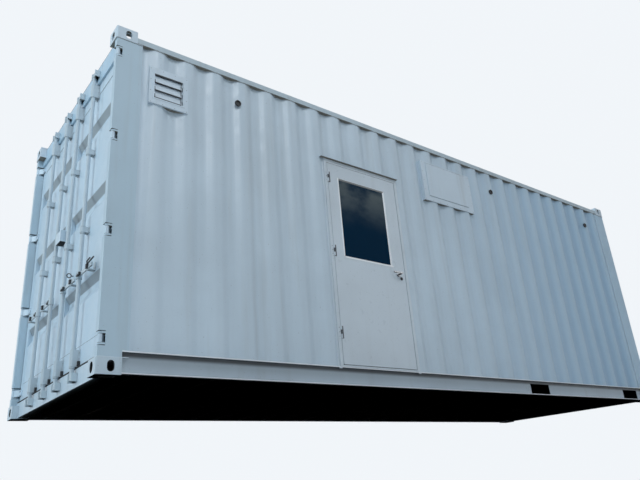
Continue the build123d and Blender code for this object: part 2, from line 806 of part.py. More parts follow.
# Far wall
with BuildPart() as wall_far:
    side_wall_sheet(1, WALL_START, WALL_END, LIP_HEIGHT, TOP_RAIL_BOTTOM)
save(wall_far, "left_wall")

# Front wall
with BuildPart() as wall_front:
    edge = POST_INNER_FACE
    line = wave_line(edge, WIDTH - edge, HALF_W, FRONT_WAVE_PITCH, WAVE_SLOPE, WAVE_FLAT, WAVE_DEPTH)
    outline = [(HALF_L - FRONT_WALL_SET_BACK - d, side_y(b)) for b, d in sheet_outline(line, SHEET)]
    plan(outline, LIP_HEIGHT, POST_TOP)
save(wall_front, "front_wall")

# Roof, pressed across in shallow ribs
with BuildPart() as roof:
    roof_x0 = HEADER_FACE + HEADER_DEPTH
    roof_x1 = LENGTH - FRONT_RAIL_FACE
    first_rib = ROOF_FLAT_END + ROOF_PITCH
    ribs = wave_line(
        roof_x0 + ROOF_FLAT_END,
        roof_x1 - ROOF_FLAT_END,
        first_rib,
        ROOF_PITCH,
        ROOF_SLOPE,
        ROOF_RIB_FLOOR,
        ROOF_DEPTH,
    )
    line = [(roof_x0, 0.0)] + ribs + [(roof_x1, 0.0)]
    upper = [(end_x(a), TOP_RAIL_TOP + SHEET + d) for a, d in line]
    lower = [(end_x(a), TOP_RAIL_TOP + d) for a, d in reversed(line)]
    edge = TOP_RAIL_INSET + ROOF_SIDE_LAP
    rib_end = edge + ROOF_SIDE_FLAT
    along_y(upper + lower, side_y(rib_end), side_y(rib_end, 1))
    for side in SIDES.values():
        flat = (side_y(edge, side), side_y(rib_end, side))
        plan_box(end_x(roof_x0), end_x(roof_x1), *flat, TOP_RAIL_TOP, TOP_RAIL_TOP + SHEET)
        closing = sorted((side_y(rib_end, side), side_y(rib_end + SHEET, side)))
        along_y(upper + [lower[0], lower[-1]], *closing)
    clear_castings()
save(roof, "roof_panel")


def cargo_leaf_frame(side):
    """The leaf's frame of pressed channels, open towards the inside."""
    y0, y1 = side_y(LEAF_OUTER, side), side_y(LEAF_MEETING, side)
    inner = (side_y(LEAF_OUTER + STILE_WIDTH, side), side_y(LEAF_MEETING - STILE_WIDTH, side))
    t = FRAME_PLATE

    def ring(depth0, depth1, grow, mode):
        with BuildSketch(Plane.YZ.offset(end_x(depth0))) as face_sketch:
            mid_y = (y0 + y1) / 2
            mid_z = (LEAF_BOTTOM + LEAF_TOP) / 2
            with Locations((mid_y, mid_z)):
                Rectangle(abs(y1 - y0) - 2 * grow, LEAF_TOP - LEAF_BOTTOM - 2 * grow)
            clear_width = abs(inner[1] - inner[0]) + 2 * grow
            with Locations(((inner[0] + inner[1]) / 2, (PANEL_LOW + PANEL_HIGH) / 2)):
                Rectangle(clear_width, PANEL_HIGH - PANEL_LOW + 2 * grow, mode=Mode.SUBTRACT)
        extrude(face_sketch.sketch, amount=depth1 - depth0, mode=mode)

    ring(LEAF_FACE, LEAF_BACK, 0.0, Mode.ADD)
    ring(LEAF_FACE + t, LEAF_BACK, t, Mode.SUBTRACT)


def hinge_blade(side, height):
    """A forged blade from its eye on the hinge pin to the face of the stile."""
    outer = LEAF_FACE - BLADE_THICKNESS
    arm = [
        (PIN_END_INSET - BLADE_NECK, PIN_SIDE_INSET + BLADE_NECK),
        (PIN_END_INSET + BLADE_NECK, PIN_SIDE_INSET - BLADE_NECK),
        (LEAF_FACE, LEAF_OUTER - OVER),
        (LEAF_FACE, LEAF_OUTER + BLADE_REACH),
        (outer, LEAF_OUTER + BLADE_REACH),
        (outer, LEAF_OUTER + BLADE_ELBOW),
    ]
    low = height - BLADE_HEIGHT / 2
    with BuildSketch(Plane.XY.offset(low)) as face_sketch:
        with BuildLine():
            Polyline(*[(end_x(a), side_y(b, side)) for a, b in arm], close=True)
        make_face()
        with Locations(hinge_pin_centre(side)):
            RegularPolygon(EYE_RADIUS, SMALL_ROUND)
            RegularPolygon(PIN_RADIUS + EYE_CLEARANCE, SMALL_ROUND, major_radius=False, mode=Mode.SUBTRACT)
    extrude(face_sketch.sketch, amount=BLADE_HEIGHT)


def cargo_leaf_panel(side):
    """The leaf's sheet with three pressed grooves."""
    y0 = side_y(LEAF_OUTER + STILE_WIDTH, side)
    y1 = side_y(LEAF_MEETING - STILE_WIDTH, side)
    middle = (PANEL_LOW + PANEL_HIGH) / 2 + GROOVE_RAISE
    line = wave_line(PANEL_LOW, PANEL_HIGH, middle, GROOVE_PITCH, GROOVE_SLOPE, GROOVE_FLOOR, GROOVE_DEPTH)
    outline = [(end_x(LEAF_FACE + PANEL_SET_BACK + d), z) for z, d in sheet_outline(line, SHEET)]
    along_y(outline, min(y0, y1), max(y0, y1))


def door_seal(side):
    """A rubber seal round the edge of a leaf, behind its frame."""
    with BuildSketch(Plane.YZ.offset(end_x(LEAF_BACK - SEAL_WIDTH))) as face_sketch:
        y0, y1 = side_y(LEAF_OUTER, side), side_y(LEAF_MEETING, side)
        with Locations(((y0 + y1) / 2, (LEAF_BOTTOM + LEAF_TOP) / 2)):
            Rectangle(abs(y1 - y0) + 2 * SEAL_PROUD, LEAF_TOP - LEAF_BOTTOM + 2 * SEAL_PROUD)
            Rectangle(abs(y1 - y0), LEAF_TOP - LEAF_BOTTOM, mode=Mode.SUBTRACT)
    extrude(face_sketch.sketch, amount=SEAL_WIDTH)


def guide(side, offset, height, tall, seat):
    """A bracket that carries a locking bar in its sleeve, seated at a depth on the leaf."""
    x, y = end_x(BAR_INSET), side * offset
    sleeve = BAR_RADIUS + GUIDE_CLEARANCE + GUIDE_WALL
    wing = sleeve + GUIDE_FLANGE
    root = end_x(seat)
    flange = end_x(seat - GUIDE_WALL)
    front = [(x - sleeve, sleeve - SLEEVE_CHAMFER), (x - sleeve + SLEEVE_CHAMFER, sleeve)]
    half = front + [(flange, sleeve), (flange, wing), (root, wing)]
    outline = [(a, y + b) for a, b in half] + [(a, y - b) for a, b in reversed(half)]
    with BuildSketch(Plane.XY.offset(height - tall / 2)) as face_sketch:
        with BuildLine():
            Polyline(*outline, close=True)
        make_face()
        with Locations((x, y)):
            RegularPolygon(BAR_RADIUS + GUIDE_CLEARANCE, SMALL_ROUND, major_radius=False, mode=Mode.SUBTRACT)
    extrude(face_sketch.sketch, amount=tall)


def handle_catch(side, offset):
    """A catch on the leaf that the handle's blade drops into."""
    y = side * (offset + CATCH_REACH)
    shelf = HANDLE_Z - HANDLE_HEIGHT / 2 - CATCH_CLEARANCE
    back = LEAF_FACE + PANEL_SET_BACK
    along_y(
        [
            (end_x(back), shelf - CATCH_PLATE),
            (end_x(back), HANDLE_Z + CATCH_RISE),
            (end_x(back - CATCH_PLATE), HANDLE_Z + CATCH_RISE),
            (end_x(back - CATCH_PLATE), shelf),
            (end_x(CATCH_FACE), shelf),
            (end_x(CATCH_FACE), shelf - CATCH_PLATE),
        ],
        y - CATCH_WIDTH / 2,
        y + CATCH_WIDTH / 2,
    )


def locking_bar(side, offset):
    """A locking bar with a hooked cam at each end and its handle."""
    bar = (end_x(BAR_INSET), side * offset)
    low = CAM_Z_LOW - CAM_HEIGHT / 2
    high = CAM_Z_HIGH + CAM_HEIGHT / 2
    round_piece(BAR_RADIUS, low, high, bar, sides=BAR_ROUND)
    claw = [
        (-BAR_RADIUS, 0.0),
        (BAR_RADIUS, 0.0),
        (CAM_THICKNESS / 2, CAM_NOSE_START - CAM_THICKNESS / 4),
        (CAM_NOSE, CAM_NOSE_START),
        (CAM_NOSE, CAM_NOSE_END),
        (CAM_THICKNESS / 2, CAM_REACH),
        (-CAM_THICKNESS / 2, CAM_REACH),
    ]
    for level in (CAM_Z_LOW, CAM_Z_HIGH):
        points = [(bar[0] + a, bar[1] + side * b) for a, b in claw]
        plan(points, level - CAM_HEIGHT / 2, level + CAM_HEIGHT / 2)
    round_piece(BAR_RADIUS + HUB_WALL, HANDLE_Z - HANDLE_HEIGHT, HANDLE_Z + HANDLE_HEIGHT, bar)
    x_mid = bar[0] - HANDLE_SET_OUT
    plan_box(
        x_mid - HANDLE_THICKNESS / 2,
        x_mid + HANDLE_THICKNESS / 2,
        bar[1],
        bar[1] + side * HANDLE_LENGTH,
        HANDLE_Z - HANDLE_HEIGHT / 2,
        HANDLE_Z + HANDLE_HEIGHT / 2,
    )


# Cargo door leaves
for name, side in SIDES.items():
    with BuildPart() as leaf_frame:
        cargo_leaf_frame(side)
        for height in HINGE_HEIGHTS:
            hinge_blade(side, height)
    save(leaf_frame, f"{name}_leaf_frame")

    with BuildPart() as leaf_panel:
        cargo_leaf_panel(side)
    save(leaf_panel, f"{name}_leaf_panel")

    with BuildPart() as leaf_seal:
        door_seal(side)
    save(leaf_seal, f"{name}_leaf_seal")

    with BuildPart() as bar_brackets:
        edge = BRACKET_HEIGHT / 2 + BRACKET_EDGE_GAP
        for offset in BAR_OFFSETS:
            guide(side, offset, LEAF_BOTTOM + GUIDE_LOW_RISE, GUIDE_HEIGHT, LEAF_FACE + PANEL_SET_BACK)
            guide(side, offset, LEAF_TOP - GUIDE_HIGH_DROP, GUIDE_HEIGHT, LEAF_FACE + PANEL_SET_BACK)
            guide(side, offset, LEAF_BOTTOM + edge, BRACKET_HEIGHT, LEAF_FACE)
            guide(side, offset, LEAF_TOP - edge, BRACKET_HEIGHT, LEAF_FACE)
            handle_catch(side, offset)
    save(bar_brackets, f"{name}_bar_brackets")

# Locking bars, numbered from the right hand side
bar_number = 0
for side, offset in ((-1, BAR_OFFSETS[1]), (-1, BAR_OFFSETS[0]), (1, BAR_OFFSETS[0]), (1, BAR_OFFSETS[1])):
    bar_number += 1
    with BuildPart() as bar_part:
        locking_bar(side, offset)
    save(bar_part, f"locking_bar_{bar_number}")


def keeper(side, offset, level, face):
    """A cam keeper: a plate with two lugs, open outwards."""
    y = side * offset
    outer = y + side * (CAM_REACH + KEEPER_CLEARANCE)
    inner = y - side * (BAR_RADIUS + KEEPER_CLEARANCE)
    points = [
        (end_x(KEEPER_TIP), outer + side * KEEPER_LUG),
        (end_x(face), outer + side * KEEPER_LUG),
        (end_x(face), inner - side * KEEPER_LUG),
        (end_x(KEEPER_TIP), inner - side * KEEPER_LUG),
        (end_x(KEEPER_TIP), inner),
        (end_x(face - KEEPER_PLATE), inner),
        (end_x(face - KEEPER_PLATE), outer),
        (end_x(KEEPER_TIP), outer),
    ]
    plan(points, level - KEEPER_HEIGHT / 2, level + KEEPER_HEIGHT / 2)


# Cam keepers on the header and the sill
with BuildPart() as keepers:
    for side in SIDES.values():
        for offset in BAR_OFFSETS:
            keeper(side, offset, CAM_Z_HIGH, HEADER_FACE)
            keeper(side, offset, CAM_Z_LOW, SILL_FACE)
save(keepers, "cam_keepers")

# Lock box on the left leaf, open at its underside
with BuildPart() as lock_box:
    y0 = LEAF_MEETING_GAP / 2 + LOCK_BOX_SIDE_GAP
    y1 = BAR_OFFSETS[0] - BAR_RADIUS - LOCK_BOX_BAR_GAP
    t = LOCK_BOX_PLATE
    top = LOCK_BOX_BOTTOM + LOCK_BOX_HEIGHT
    plan_box(end_x(LOCK_BOX_FACE), end_x(LEAF_FACE), y0, y1, LOCK_BOX_BOTTOM, top)
    face = end_x(LOCK_BOX_FACE + t)
    plan_box(face, end_x(LEAF_FACE), y0 + t, y1 - t, LOCK_BOX_BOTTOM, top - t, mode=Mode.SUBTRACT)
save(lock_box, "lock_box")

KNUCKLE_X = LEAF_X0 - DOOR_GAP / 2
KNUCKLE_Y = side_y(-KNUCKLE_RADIUS - KNUCKLE_STAND_OFF)
KNUCKLE_HEIGHT = BUTT_HEIGHT / 3
KNUCKLE_CENTRE = (end_x(KNUCKLE_X), KNUCKLE_Y)


def fixed_hinge_half(level):
    """The half of a butt hinge that stays on the frame: two knuckles, the pin and a notched plate."""
    low = level - BUTT_HEIGHT / 2
    high = level + BUTT_HEIGHT / 2
    notch = KNUCKLE_HEIGHT / 2 + KNUCKLE_GAP
    round_piece(KNUCKLE_RADIUS, low, level - notch, KNUCKLE_CENTRE)
    round_piece(KNUCKLE_RADIUS, level + notch, high, KNUCKLE_CENTRE)
    round_piece(HINGE_PIN_RADIUS, level - notch, level + notch, KNUCKLE_CENTRE)
    edge = KNUCKLE_X - HINGE_PLATE_WIDTH
    plan_box(end_x(edge), end_x(KNUCKLE_X - HINGE_PIN_RADIUS), side_y(-HINGE_PLATE), side_y(0), low, high)
    clear = KNUCKLE_X - KNUCKLE_RADIUS - HINGE_PLATE_CLEARANCE
    plan_box(
        end_x(clear),
        end_x(KNUCKLE_X - HINGE_PIN_RADIUS),
        side_y(-HINGE_PLATE),
        side_y(0),
        level - notch,
        level + notch,
        mode=Mode.SUBTRACT,
    )


# Personnel door frame, a folded steel frame through the wall
with BuildPart() as door_frame:
    x0, x1 = end_x(DOOR_LEFT), end_x(DOOR_RIGHT)
    with BuildSketch(Plane.XZ.offset(-side_y(0))):
        with Locations(((x0 + x1) / 2, (DOOR_BOTTOM + DOOR_TOP) / 2)):
            Rectangle(x1 - x0, DOOR_TOP - DOOR_BOTTOM)
        with Locations(((x0 + x1) / 2, (DOOR_BOTTOM + THRESHOLD_HEIGHT + DOOR_TOP - JAMB_FACE) / 2)):
            clear_h = DOOR_TOP - JAMB_FACE - DOOR_BOTTOM - THRESHOLD_HEIGHT
            Rectangle(x1 - x0 - 2 * JAMB_FACE, clear_h, mode=Mode.SUBTRACT)
    extrude(amount=-JAMB_DEPTH)
    stop_front = DOOR_SET_BACK + DOOR_THICKNESS + DOOR_GAP
    with BuildSketch(Plane.XZ.offset(-side_y(stop_front))):
        with Locations(((x0 + x1) / 2, (DOOR_BOTTOM + DOOR_TOP) / 2)):
            Rectangle(x1 - x0, DOOR_TOP - DOOR_BOTTOM)
        inner_w = x1 - x0 - 2 * (JAMB_FACE + STOP_DEPTH)
        low = DOOR_BOTTOM + THRESHOLD_HEIGHT
        high = DOOR_TOP - JAMB_FACE - STOP_DEPTH
        with Locations(((x0 + x1) / 2, (low + high) / 2)):
            Rectangle(inner_w, high - low, mode=Mode.SUBTRACT)
    extrude(amount=-(JAMB_DEPTH - stop_front))
    for level in BUTT_LEVELS:
        fixed_hinge_half(level)
save(door_frame, "personnel_door_frame")

LIGHT_CENTRE = (end_x((LIGHT_LEFT + LIGHT_RIGHT) / 2), (LIGHT_BOTTOM + LIGHT_TOP) / 2)
HOLE_WIDTH = LIGHT_WIDTH - 2 * TRIM_LIP
HOLE_HEIGHT = LIGHT_HEIGHT - 2 * TRIM_LIP

# Personnel door leaf with its window and its lock bore cut through
with BuildPart() as door_leaf:
    with BuildSketch(Plane.XZ.offset(-side_y(DOOR_SET_BACK))):
        with Locations(((end_x(LEAF_X0) + end_x(LEAF_X1)) / 2, (LEAF_Z0 + LEAF_Z1) / 2)):
            Rectangle(LEAF_X1 - LEAF_X0, LEAF_Z1 - LEAF_Z0)
        with Locations(LIGHT_CENTRE):
            Rectangle(HOLE_WIDTH, HOLE_HEIGHT, mode=Mode.SUBTRACT)
        with Locations((end_x(LEVER_X), LEVER_Z)):
            RegularPolygon(SPINDLE_RADIUS + LOCK_BORE_CLEARANCE, SMALL_ROUND, mode=Mode.SUBTRACT)
    extrude(amount=-DOOR_THICKNESS)
save(door_leaf, "personnel_door_leaf")

# Glazing, held in the middle of the leaf's thickness
TRIM_DEPTH = (DOOR_THICKNESS - GLASS_THICKNESS) / 2
with BuildPart() as door_glass:
    with BuildSketch(Plane.XZ.offset(-side_y(DOOR_SET_BACK + TRIM_DEPTH))):
        with Locations(LIGHT_CENTRE):
            Rectangle(HOLE_WIDTH - 2 * GLASS_EDGE_GAP, HOLE_HEIGHT - 2 * GLASS_EDGE_GAP)
    extrude(amount=-GLASS_THICKNESS)
save(door_glass, "personnel_door_glass")


def glazing_trim(face_inset, outward):
    """A glazing bead with a lip on the leaf's face and a slope down to the glass."""
    plane = Plane.XZ.offset(-side_y(face_inset))
    front = plane.offset(outward * TRIM_PROUD)
    with BuildSketch(front) as lip_sketch:
        with Locations(LIGHT_CENTRE):
            Rectangle(LIGHT_WIDTH, LIGHT_HEIGHT)
    extrude(lip_sketch.sketch, amount=-outward * TRIM_PROUD)
    with BuildSketch(plane) as body_sketch:
        with Locations(LIGHT_CENTRE):
            Rectangle(HOLE_WIDTH - 2 * TRIM_CLEARANCE, HOLE_HEIGHT - 2 * TRIM_CLEARANCE)
    extrude(body_sketch.sketch, amount=-outward * TRIM_DEPTH)
    with BuildSketch(front) as mouth:
        with Locations(LIGHT_CENTRE):
            Rectangle(LIGHT_WIDTH - 2 * TRIM_FLAT, LIGHT_HEIGHT - 2 * TRIM_FLAT)
    with BuildSketch(plane.offset(-outward * TRIM_DEPTH)) as sight:
        with Locations(LIGHT_CENTRE):
            Rectangle(LIGHT_WIDTH - 2 * TRIM_WIDTH, LIGHT_HEIGHT - 2 * TRIM_WIDTH)
    loft([mouth.sketch.face(), sight.sketch.face()], ruled=True, mode=Mode.SUBTRACT)


# Glazing trim outside and inside
with BuildPart() as door_trim:
    glazing_trim(DOOR_SET_BACK, 1)
    glazing_trim(DOOR_SET_BACK + DOOR_THICKNESS, -1)
save(door_trim, "personnel_door_trim")

# Moving halves of the butt hinges: the middle knuckle and a plate on the leaf's face
with BuildPart() as door_hinges:
    for level in BUTT_LEVELS:
        half = KNUCKLE_HEIGHT / 2
        bore = HINGE_PIN_RADIUS + HINGE_PIN_CLEARANCE
        face = side_y(DOOR_SET_BACK)
        plate_out = side_y(DOOR_SET_BACK - HINGE_PLATE)
        plate_end = end_x(KNUCKLE_X + HINGE_PLATE_WIDTH)
        clear = end_x(KNUCKLE_X + KNUCKLE_RADIUS + HINGE_PLATE_CLEARANCE)
        round_piece(KNUCKLE_RADIUS, level - half, level + half, KNUCKLE_CENTRE)
        plan_box(end_x(KNUCKLE_X + bore), clear, side_y(-HINGE_PLATE), face, level - half, level + half)
        plan_box(clear, plate_end, plate_out, face, level - BUTT_HEIGHT / 2, level + BUTT_HEIGHT / 2)
        with BuildSketch(Plane.XY.offset(level - half)) as face_sketch:
            with Locations(KNUCKLE_CENTRE):
                RegularPolygon(bore, SMALL_ROUND, major_radius=False)
        extrude(face_sketch.sketch, amount=2 * half, mode=Mode.SUBTRACT)
save(door_hinges, "personnel_door_hinges")

LEVER_CENTRE = (end_x(LEVER_X), LEVER_Z)


def on_door(y_start, length, radius, sides):
    """A round piece of flats that stands square to the leaf, from y_start towards +Y."""
    with BuildSketch(Plane.XZ.offset(-y_start)) as face_sketch:
        with Locations(LEVER_CENTRE):
            RegularPolygon(radius, sides)
    extrude(face_sketch.sketch, amount=-length)


# Lever handle: a lever and its neck on each face, joined by the spindle
with BuildPart() as lever:
    outer_face = DOOR_SET_BACK
    inner_face = DOOR_SET_BACK + DOOR_THICKNESS
    neck = LEVER_STAND - ROSE_THICKNESS - SPINDLE_CLEARANCE
    on_door(side_y(outer_face - LEVER_STAND), DOOR_THICKNESS + 2 * LEVER_STAND, SPINDLE_RADIUS, SMALL_ROUND)
    on_door(side_y(outer_face - LEVER_STAND), neck, NECK_RADIUS, SMALL_ROUND)
    on_door(side_y(inner_face + LEVER_STAND) - neck, neck, NECK_RADIUS, SMALL_ROUND)
    x, z = LEVER_CENTRE
    blade = [
        (x + NECK_RADIUS, z - LEVER_HEIGHT / 4),
        (x + NECK_RADIUS, z + LEVER_HEIGHT / 4),
        (x + NECK_RADIUS / 2, z + LEVER_HEIGHT / 2),
        (x - LEVER_LENGTH + LEVER_TIP_HEIGHT / 3, z + LEVER_TIP_HEIGHT / 2),
        (x - LEVER_LENGTH, z + LEVER_TIP_HEIGHT / 4),
        (x - LEVER_LENGTH, z - LEVER_TIP_HEIGHT / 4),
        (x - LEVER_LENGTH + LEVER_TIP_HEIGHT / 3, z - LEVER_TIP_HEIGHT / 2),
        (x + NECK_RADIUS / 2, z - LEVER_HEIGHT / 2),
    ]
    for y_start in (side_y(outer_face - LEVER_STAND), side_y(inner_face + LEVER_STAND) - LEVER_THICKNESS):
        along_y(blade, y_start, y_start + LEVER_THICKNESS)
save(lever, "lever_handle")

# Roses of the lever handle
with BuildPart() as roses:
    bore = SPINDLE_RADIUS + SPINDLE_CLEARANCE
    for y_start in (side_y(DOOR_SET_BACK - ROSE_THICKNESS), side_y(DOOR_SET_BACK + DOOR_THICKNESS)):
        with BuildSketch(Plane.XZ.offset(-y_start)):
            with Locations(LEVER_CENTRE):
                RegularPolygon(ROSE_RADIUS, ROSE_ROUND)
                RegularPolygon(bore, SMALL_ROUND, major_radius=False, mode=Mode.SUBTRACT)
        extrude(amount=-ROSE_THICKNESS)
save(roses, "lever_roses")

# Head flashing over the personnel door
with BuildPart() as flashing:
    upstand = side_y(WALL_INSET - FLASHING_SHEET)
    along_x(
        [
            (side_y(WALL_INSET), DOOR_TOP),
            (side_y(-FLASHING_OUT), DOOR_TOP),
            (side_y(-FLASHING_OUT), DOOR_TOP + FLASHING_SHEET),
            (upstand, DOOR_TOP + FLASHING_SLOPE),
            (upstand, DOOR_TOP + FLASHING_UPSTAND),
            (side_y(WALL_INSET), DOOR_TOP + FLASHING_UPSTAND),
        ],
        end_x(DOOR_LEFT - FLASHING_HINGE_END),
        end_x(DOOR_RIGHT + FLASHING_LOCK_END),
    )
save(flashing, "head_flashing")

# Louvre vent: a box frame with a raised step round sloping blades
with BuildPart() as vent:
    cx = end_x(VENT_LEFT + VENT_WIDTH / 2)
    cz = VENT_BOTTOM + VENT_HEIGHT / 2
    with BuildSketch(Plane.XZ.offset(-side_y(VENT_STEP - VENT_PROUD))):
        with Locations((cx, cz)):
            Rectangle(VENT_WIDTH, VENT_HEIGHT)
    extrude(amount=-(VENT_PROUD - VENT_STEP + WALL_INSET))
    with BuildSketch(Plane.XZ.offset(-side_y(-VENT_PROUD))):
        with Locations((cx, cz)):
            Rectangle(VENT_OPEN_WIDTH + 2 * VENT_STEP_WIDTH, VENT_OPEN_HEIGHT + 2 * VENT_STEP_WIDTH)
    extrude(amount=-VENT_STEP)
    with BuildSketch(Plane.XZ.offset(-side_y(-VENT_PROUD))):
        with Locations((cx, cz)):
            Rectangle(VENT_OPEN_WIDTH, VENT_OPEN_HEIGHT)
    extrude(amount=-(VENT_PROUD + WALL_INSET), mode=Mode.SUBTRACT)
    slots = VENT_FOOT_SLOT + (VENT_BLADES - 1) * VENT_SLOT + VENT_HEAD_SLOT
    blade_height = (VENT_OPEN_HEIGHT - slots) / VENT_BLADES
    half_open = VENT_OPEN_WIDTH / 2
    outer = side_y(-VENT_BLADE_OUT)
    back = side_y(VENT_BLADE_BACK)
    centre = (outer + back) / 2
    for i in range(VENT_BLADES):
        low = cz - VENT_OPEN_HEIGHT / 2 + VENT_FOOT_SLOT + i * (blade_height + VENT_SLOT)
        high = low + blade_height
        middle = (low + high) / 2
        foot_of_blade = [(outer, low), (outer + BLADE_PLATE, low)]
        join = [(centre + BLADE_PLATE, middle), (centre, middle)]
        top_of_blade = [(back, high), (back + BLADE_PLATE, high)]
        along_x(foot_of_blade + join, cx - half_open + VENT_BLADE_GAP, cx + half_open - VENT_BLADE_GAP)
        along_x(join + top_of_blade, cx - half_open - BLADE_PLATE, cx + half_open + BLADE_PLATE)
save(vent, "louvre_vent")

# Hatch cover: a plate with a raised flap in a groove
with BuildPart() as hatch:
    flap_x = end_x(HATCH_LEFT + FLAP_LEFT + FLAP_WIDTH / 2)
    flap_z = HATCH_BOTTOM + FLAP_RISE + FLAP_HEIGHT / 2
    with BuildSketch(Plane.XZ.offset(-side_y(0))):
        with Locations((end_x(HATCH_LEFT + HATCH_WIDTH / 2), HATCH_BOTTOM + HATCH_HEIGHT / 2)):
            Rectangle(HATCH_WIDTH, HATCH_HEIGHT)
    extrude(amount=-WALL_INSET)
    with BuildSketch(Plane.XZ.offset(-side_y(0))):
        with Locations((flap_x, flap_z)):
            Rectangle(FLAP_WIDTH + 2 * FLAP_GROOVE, FLAP_HEIGHT + 2 * FLAP_GROOVE)
    extrude(amount=-FLAP_GROOVE_DEPTH, mode=Mode.SUBTRACT)
    with BuildSketch(Plane.XZ.offset(-side_y(-FLAP_PROUD))):
        with Locations((flap_x, flap_z)):
            Rectangle(FLAP_WIDTH, FLAP_HEIGHT)
    extrude(amount=-(FLAP_PROUD + FLAP_GROOVE_DEPTH))
save(hatch, "hatch_cover")

BREATHER_DISTANCES = (
    BREATHER_FROM_DOORS,
    HATCH_LEFT + HATCH_WIDTH + BREATHER_PAST_HATCH,
    LENGTH - BREATHER_LAST_FROM_FRONT,
)

# Breather vents, short pipe ends on the near wall
with BuildPart() as breathers:
    for i, distance in enumerate(BREATHER_DISTANCES):
        centre = (end_x(distance), TOP_RAIL_BOTTOM - BREATHER_DROP - i * BREATHER_STEP)
        with BuildSketch(Plane.XZ.offset(-side_y(WALL_INSET - BREATHER_PROUD))):
            with Locations(centre):
                RegularPolygon(BREATHER_RADIUS, BREATHER_ROUND)
        extrude(amount=-BREATHER_PROUD)
        with BuildSketch(Plane.XZ.offset(-side_y(WALL_INSET - BREATHER_PROUD))):
            with Locations(centre):
                RegularPolygon(BREATHER_BORE, BREATHER_ROUND)
        extrude(amount=-(BREATHER_PROUD - BREATHER_BASE), mode=Mode.SUBTRACT)
save(breathers, "breather_vents")
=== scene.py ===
import bmesh
import bpy
import json
import math
import random
from mathutils import Matrix, Vector


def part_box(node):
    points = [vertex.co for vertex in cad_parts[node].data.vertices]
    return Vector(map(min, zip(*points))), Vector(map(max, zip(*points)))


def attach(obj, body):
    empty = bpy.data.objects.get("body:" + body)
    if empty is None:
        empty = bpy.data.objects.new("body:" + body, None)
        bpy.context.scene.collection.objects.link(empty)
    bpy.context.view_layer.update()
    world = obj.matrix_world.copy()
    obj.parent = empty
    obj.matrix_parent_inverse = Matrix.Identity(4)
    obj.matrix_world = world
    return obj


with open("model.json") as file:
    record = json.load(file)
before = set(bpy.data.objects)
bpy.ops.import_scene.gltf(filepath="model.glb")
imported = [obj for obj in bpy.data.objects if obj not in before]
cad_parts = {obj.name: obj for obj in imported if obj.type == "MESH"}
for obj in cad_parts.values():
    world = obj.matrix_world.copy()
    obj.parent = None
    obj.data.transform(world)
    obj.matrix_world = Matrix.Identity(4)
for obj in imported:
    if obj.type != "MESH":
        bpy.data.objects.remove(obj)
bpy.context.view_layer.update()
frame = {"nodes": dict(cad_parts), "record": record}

random.seed(7)

# Camera at the photograph's place and angle
CAMERA_AT = (-5.15338, -5.34043, -0.81666)
CAMERA_RIGHT = Vector((0.79373, -0.60406, -0.07149))
CAMERA_UP = Vector((-0.17516, -0.33953, 0.92414))
CAMERA_LENS = 34.71

# Sizes and places of the container that the added pieces follow, in metres, and its two cargo doors
END = 3.81
SIDE = 1.219
CASTING_TOP = 0.118
CASTING_INNER = 3.632
POST_TOP = 2.778
POST_END = 3.802
POST_SIDE = 1.213
POST_INNER = 1.160
STRIP_END = 3.585
WALL_LOW = 0.165
WALL_HIGH = 2.786
WALL_LEVEL = 1.209
WAVE_PITCH = 0.278
WAVE_DEPTH = 0.036
WAVE_SLOPE = 0.068
WAVE_FLAT = 0.071
FIRST_RECESS = -3.295
FRONT_LEVEL = 3.798
FRONT_PITCH = 0.250
DOOR_X = (-1.700, -0.710)
DOOR_Z = (0.168, 2.236)
LEAVES = (("right_cargo_door", -1), ("left_cargo_door", 1))
LEAF_FACE = -3.732
PANEL_FACE = -3.730
HINGE_LEVELS = [0.246 + 0.800 * i for i in range(4)]
BAR_X = -3.776
BAR_MIDDLE = 1.436
BARS = {1: -0.589, 2: -0.177, 3: 0.177, 4: 0.589}
HANDLE_Z = 0.885
CATCH_REACH = 0.232
GUIDE_LEVELS = (1.277, 2.000)
BRACKET_LEVELS = (0.229, 2.616)
GUIDE_SLEEVE = 0.0223
GUIDE_WING = 0.0363
GUIDE_PLATE = 0.005

# Inside of a bottom casting, and where its outer corner starts, as distances from the middle and the ground
CAVITY_X = (3.634, 3.8065)
CAVITY_Y = (1.059, 1.2155)
CAVITY_Z = (0.0005, 0.116)
CORNER_FROM = (3.799, 1.208)

# Directions of a face, 1 up and -1 down, at which the painted shade underneath starts and is full
UNDERSIDE = (-0.25, -0.8)
WIDE_UNDERSIDE = (-0.12, -0.60)

# Colours that the finishes mix in, in linear light
# Near black and brownish painted shade, for faces turned down and for hollows
SHADE_BLACK = (0.012, 0.0125, 0.013, 1.0)
SHADE_BROWN = (0.150, 0.135, 0.108, 1.0)
RAIL_SHADE = (0.030, 0.036, 0.043, 1.0)
FRONT_SHADE = (0.405, 0.600, 0.765, 1.0)
RECESS_SHADE = (0.290, 0.450, 0.620, 1.0)
RAIN_GREY = (0.36, 0.37, 0.35, 1.0)
SPECK = (0.13, 0.12, 0.11, 1.0)
STEEL_DARK = (0.06, 0.058, 0.055, 1.0)
LEVER_SHADE = (0.004, 0.006, 0.010, 1.0)
BITUMEN = (0.006, 0.006, 0.007, 1.0)
BITUMEN_DUST = (0.020, 0.019, 0.018, 1.0)
PLY_DARK = (0.17, 0.095, 0.048, 1.0)
PLY_LIGHT = (0.34, 0.21, 0.11, 1.0)
PLY_SCUFF = (0.09, 0.065, 0.05, 1.0)
GLASS_TINT = (0.003, 0.023, 0.052, 1.0)
GLASS_REFLECTION = (0.135, 0.160, 0.165, 1.0)
FLOOR_PALE = (0.80, 0.82, 0.84, 1.0)
FLOOR_PALER = (0.84, 0.86, 0.88, 1.0)
AMBIENT_LIGHT = (0.84, 0.93, 1.0, 1.0)
BACKGROUND = (0.88, 0.915, 0.95, 1.0)


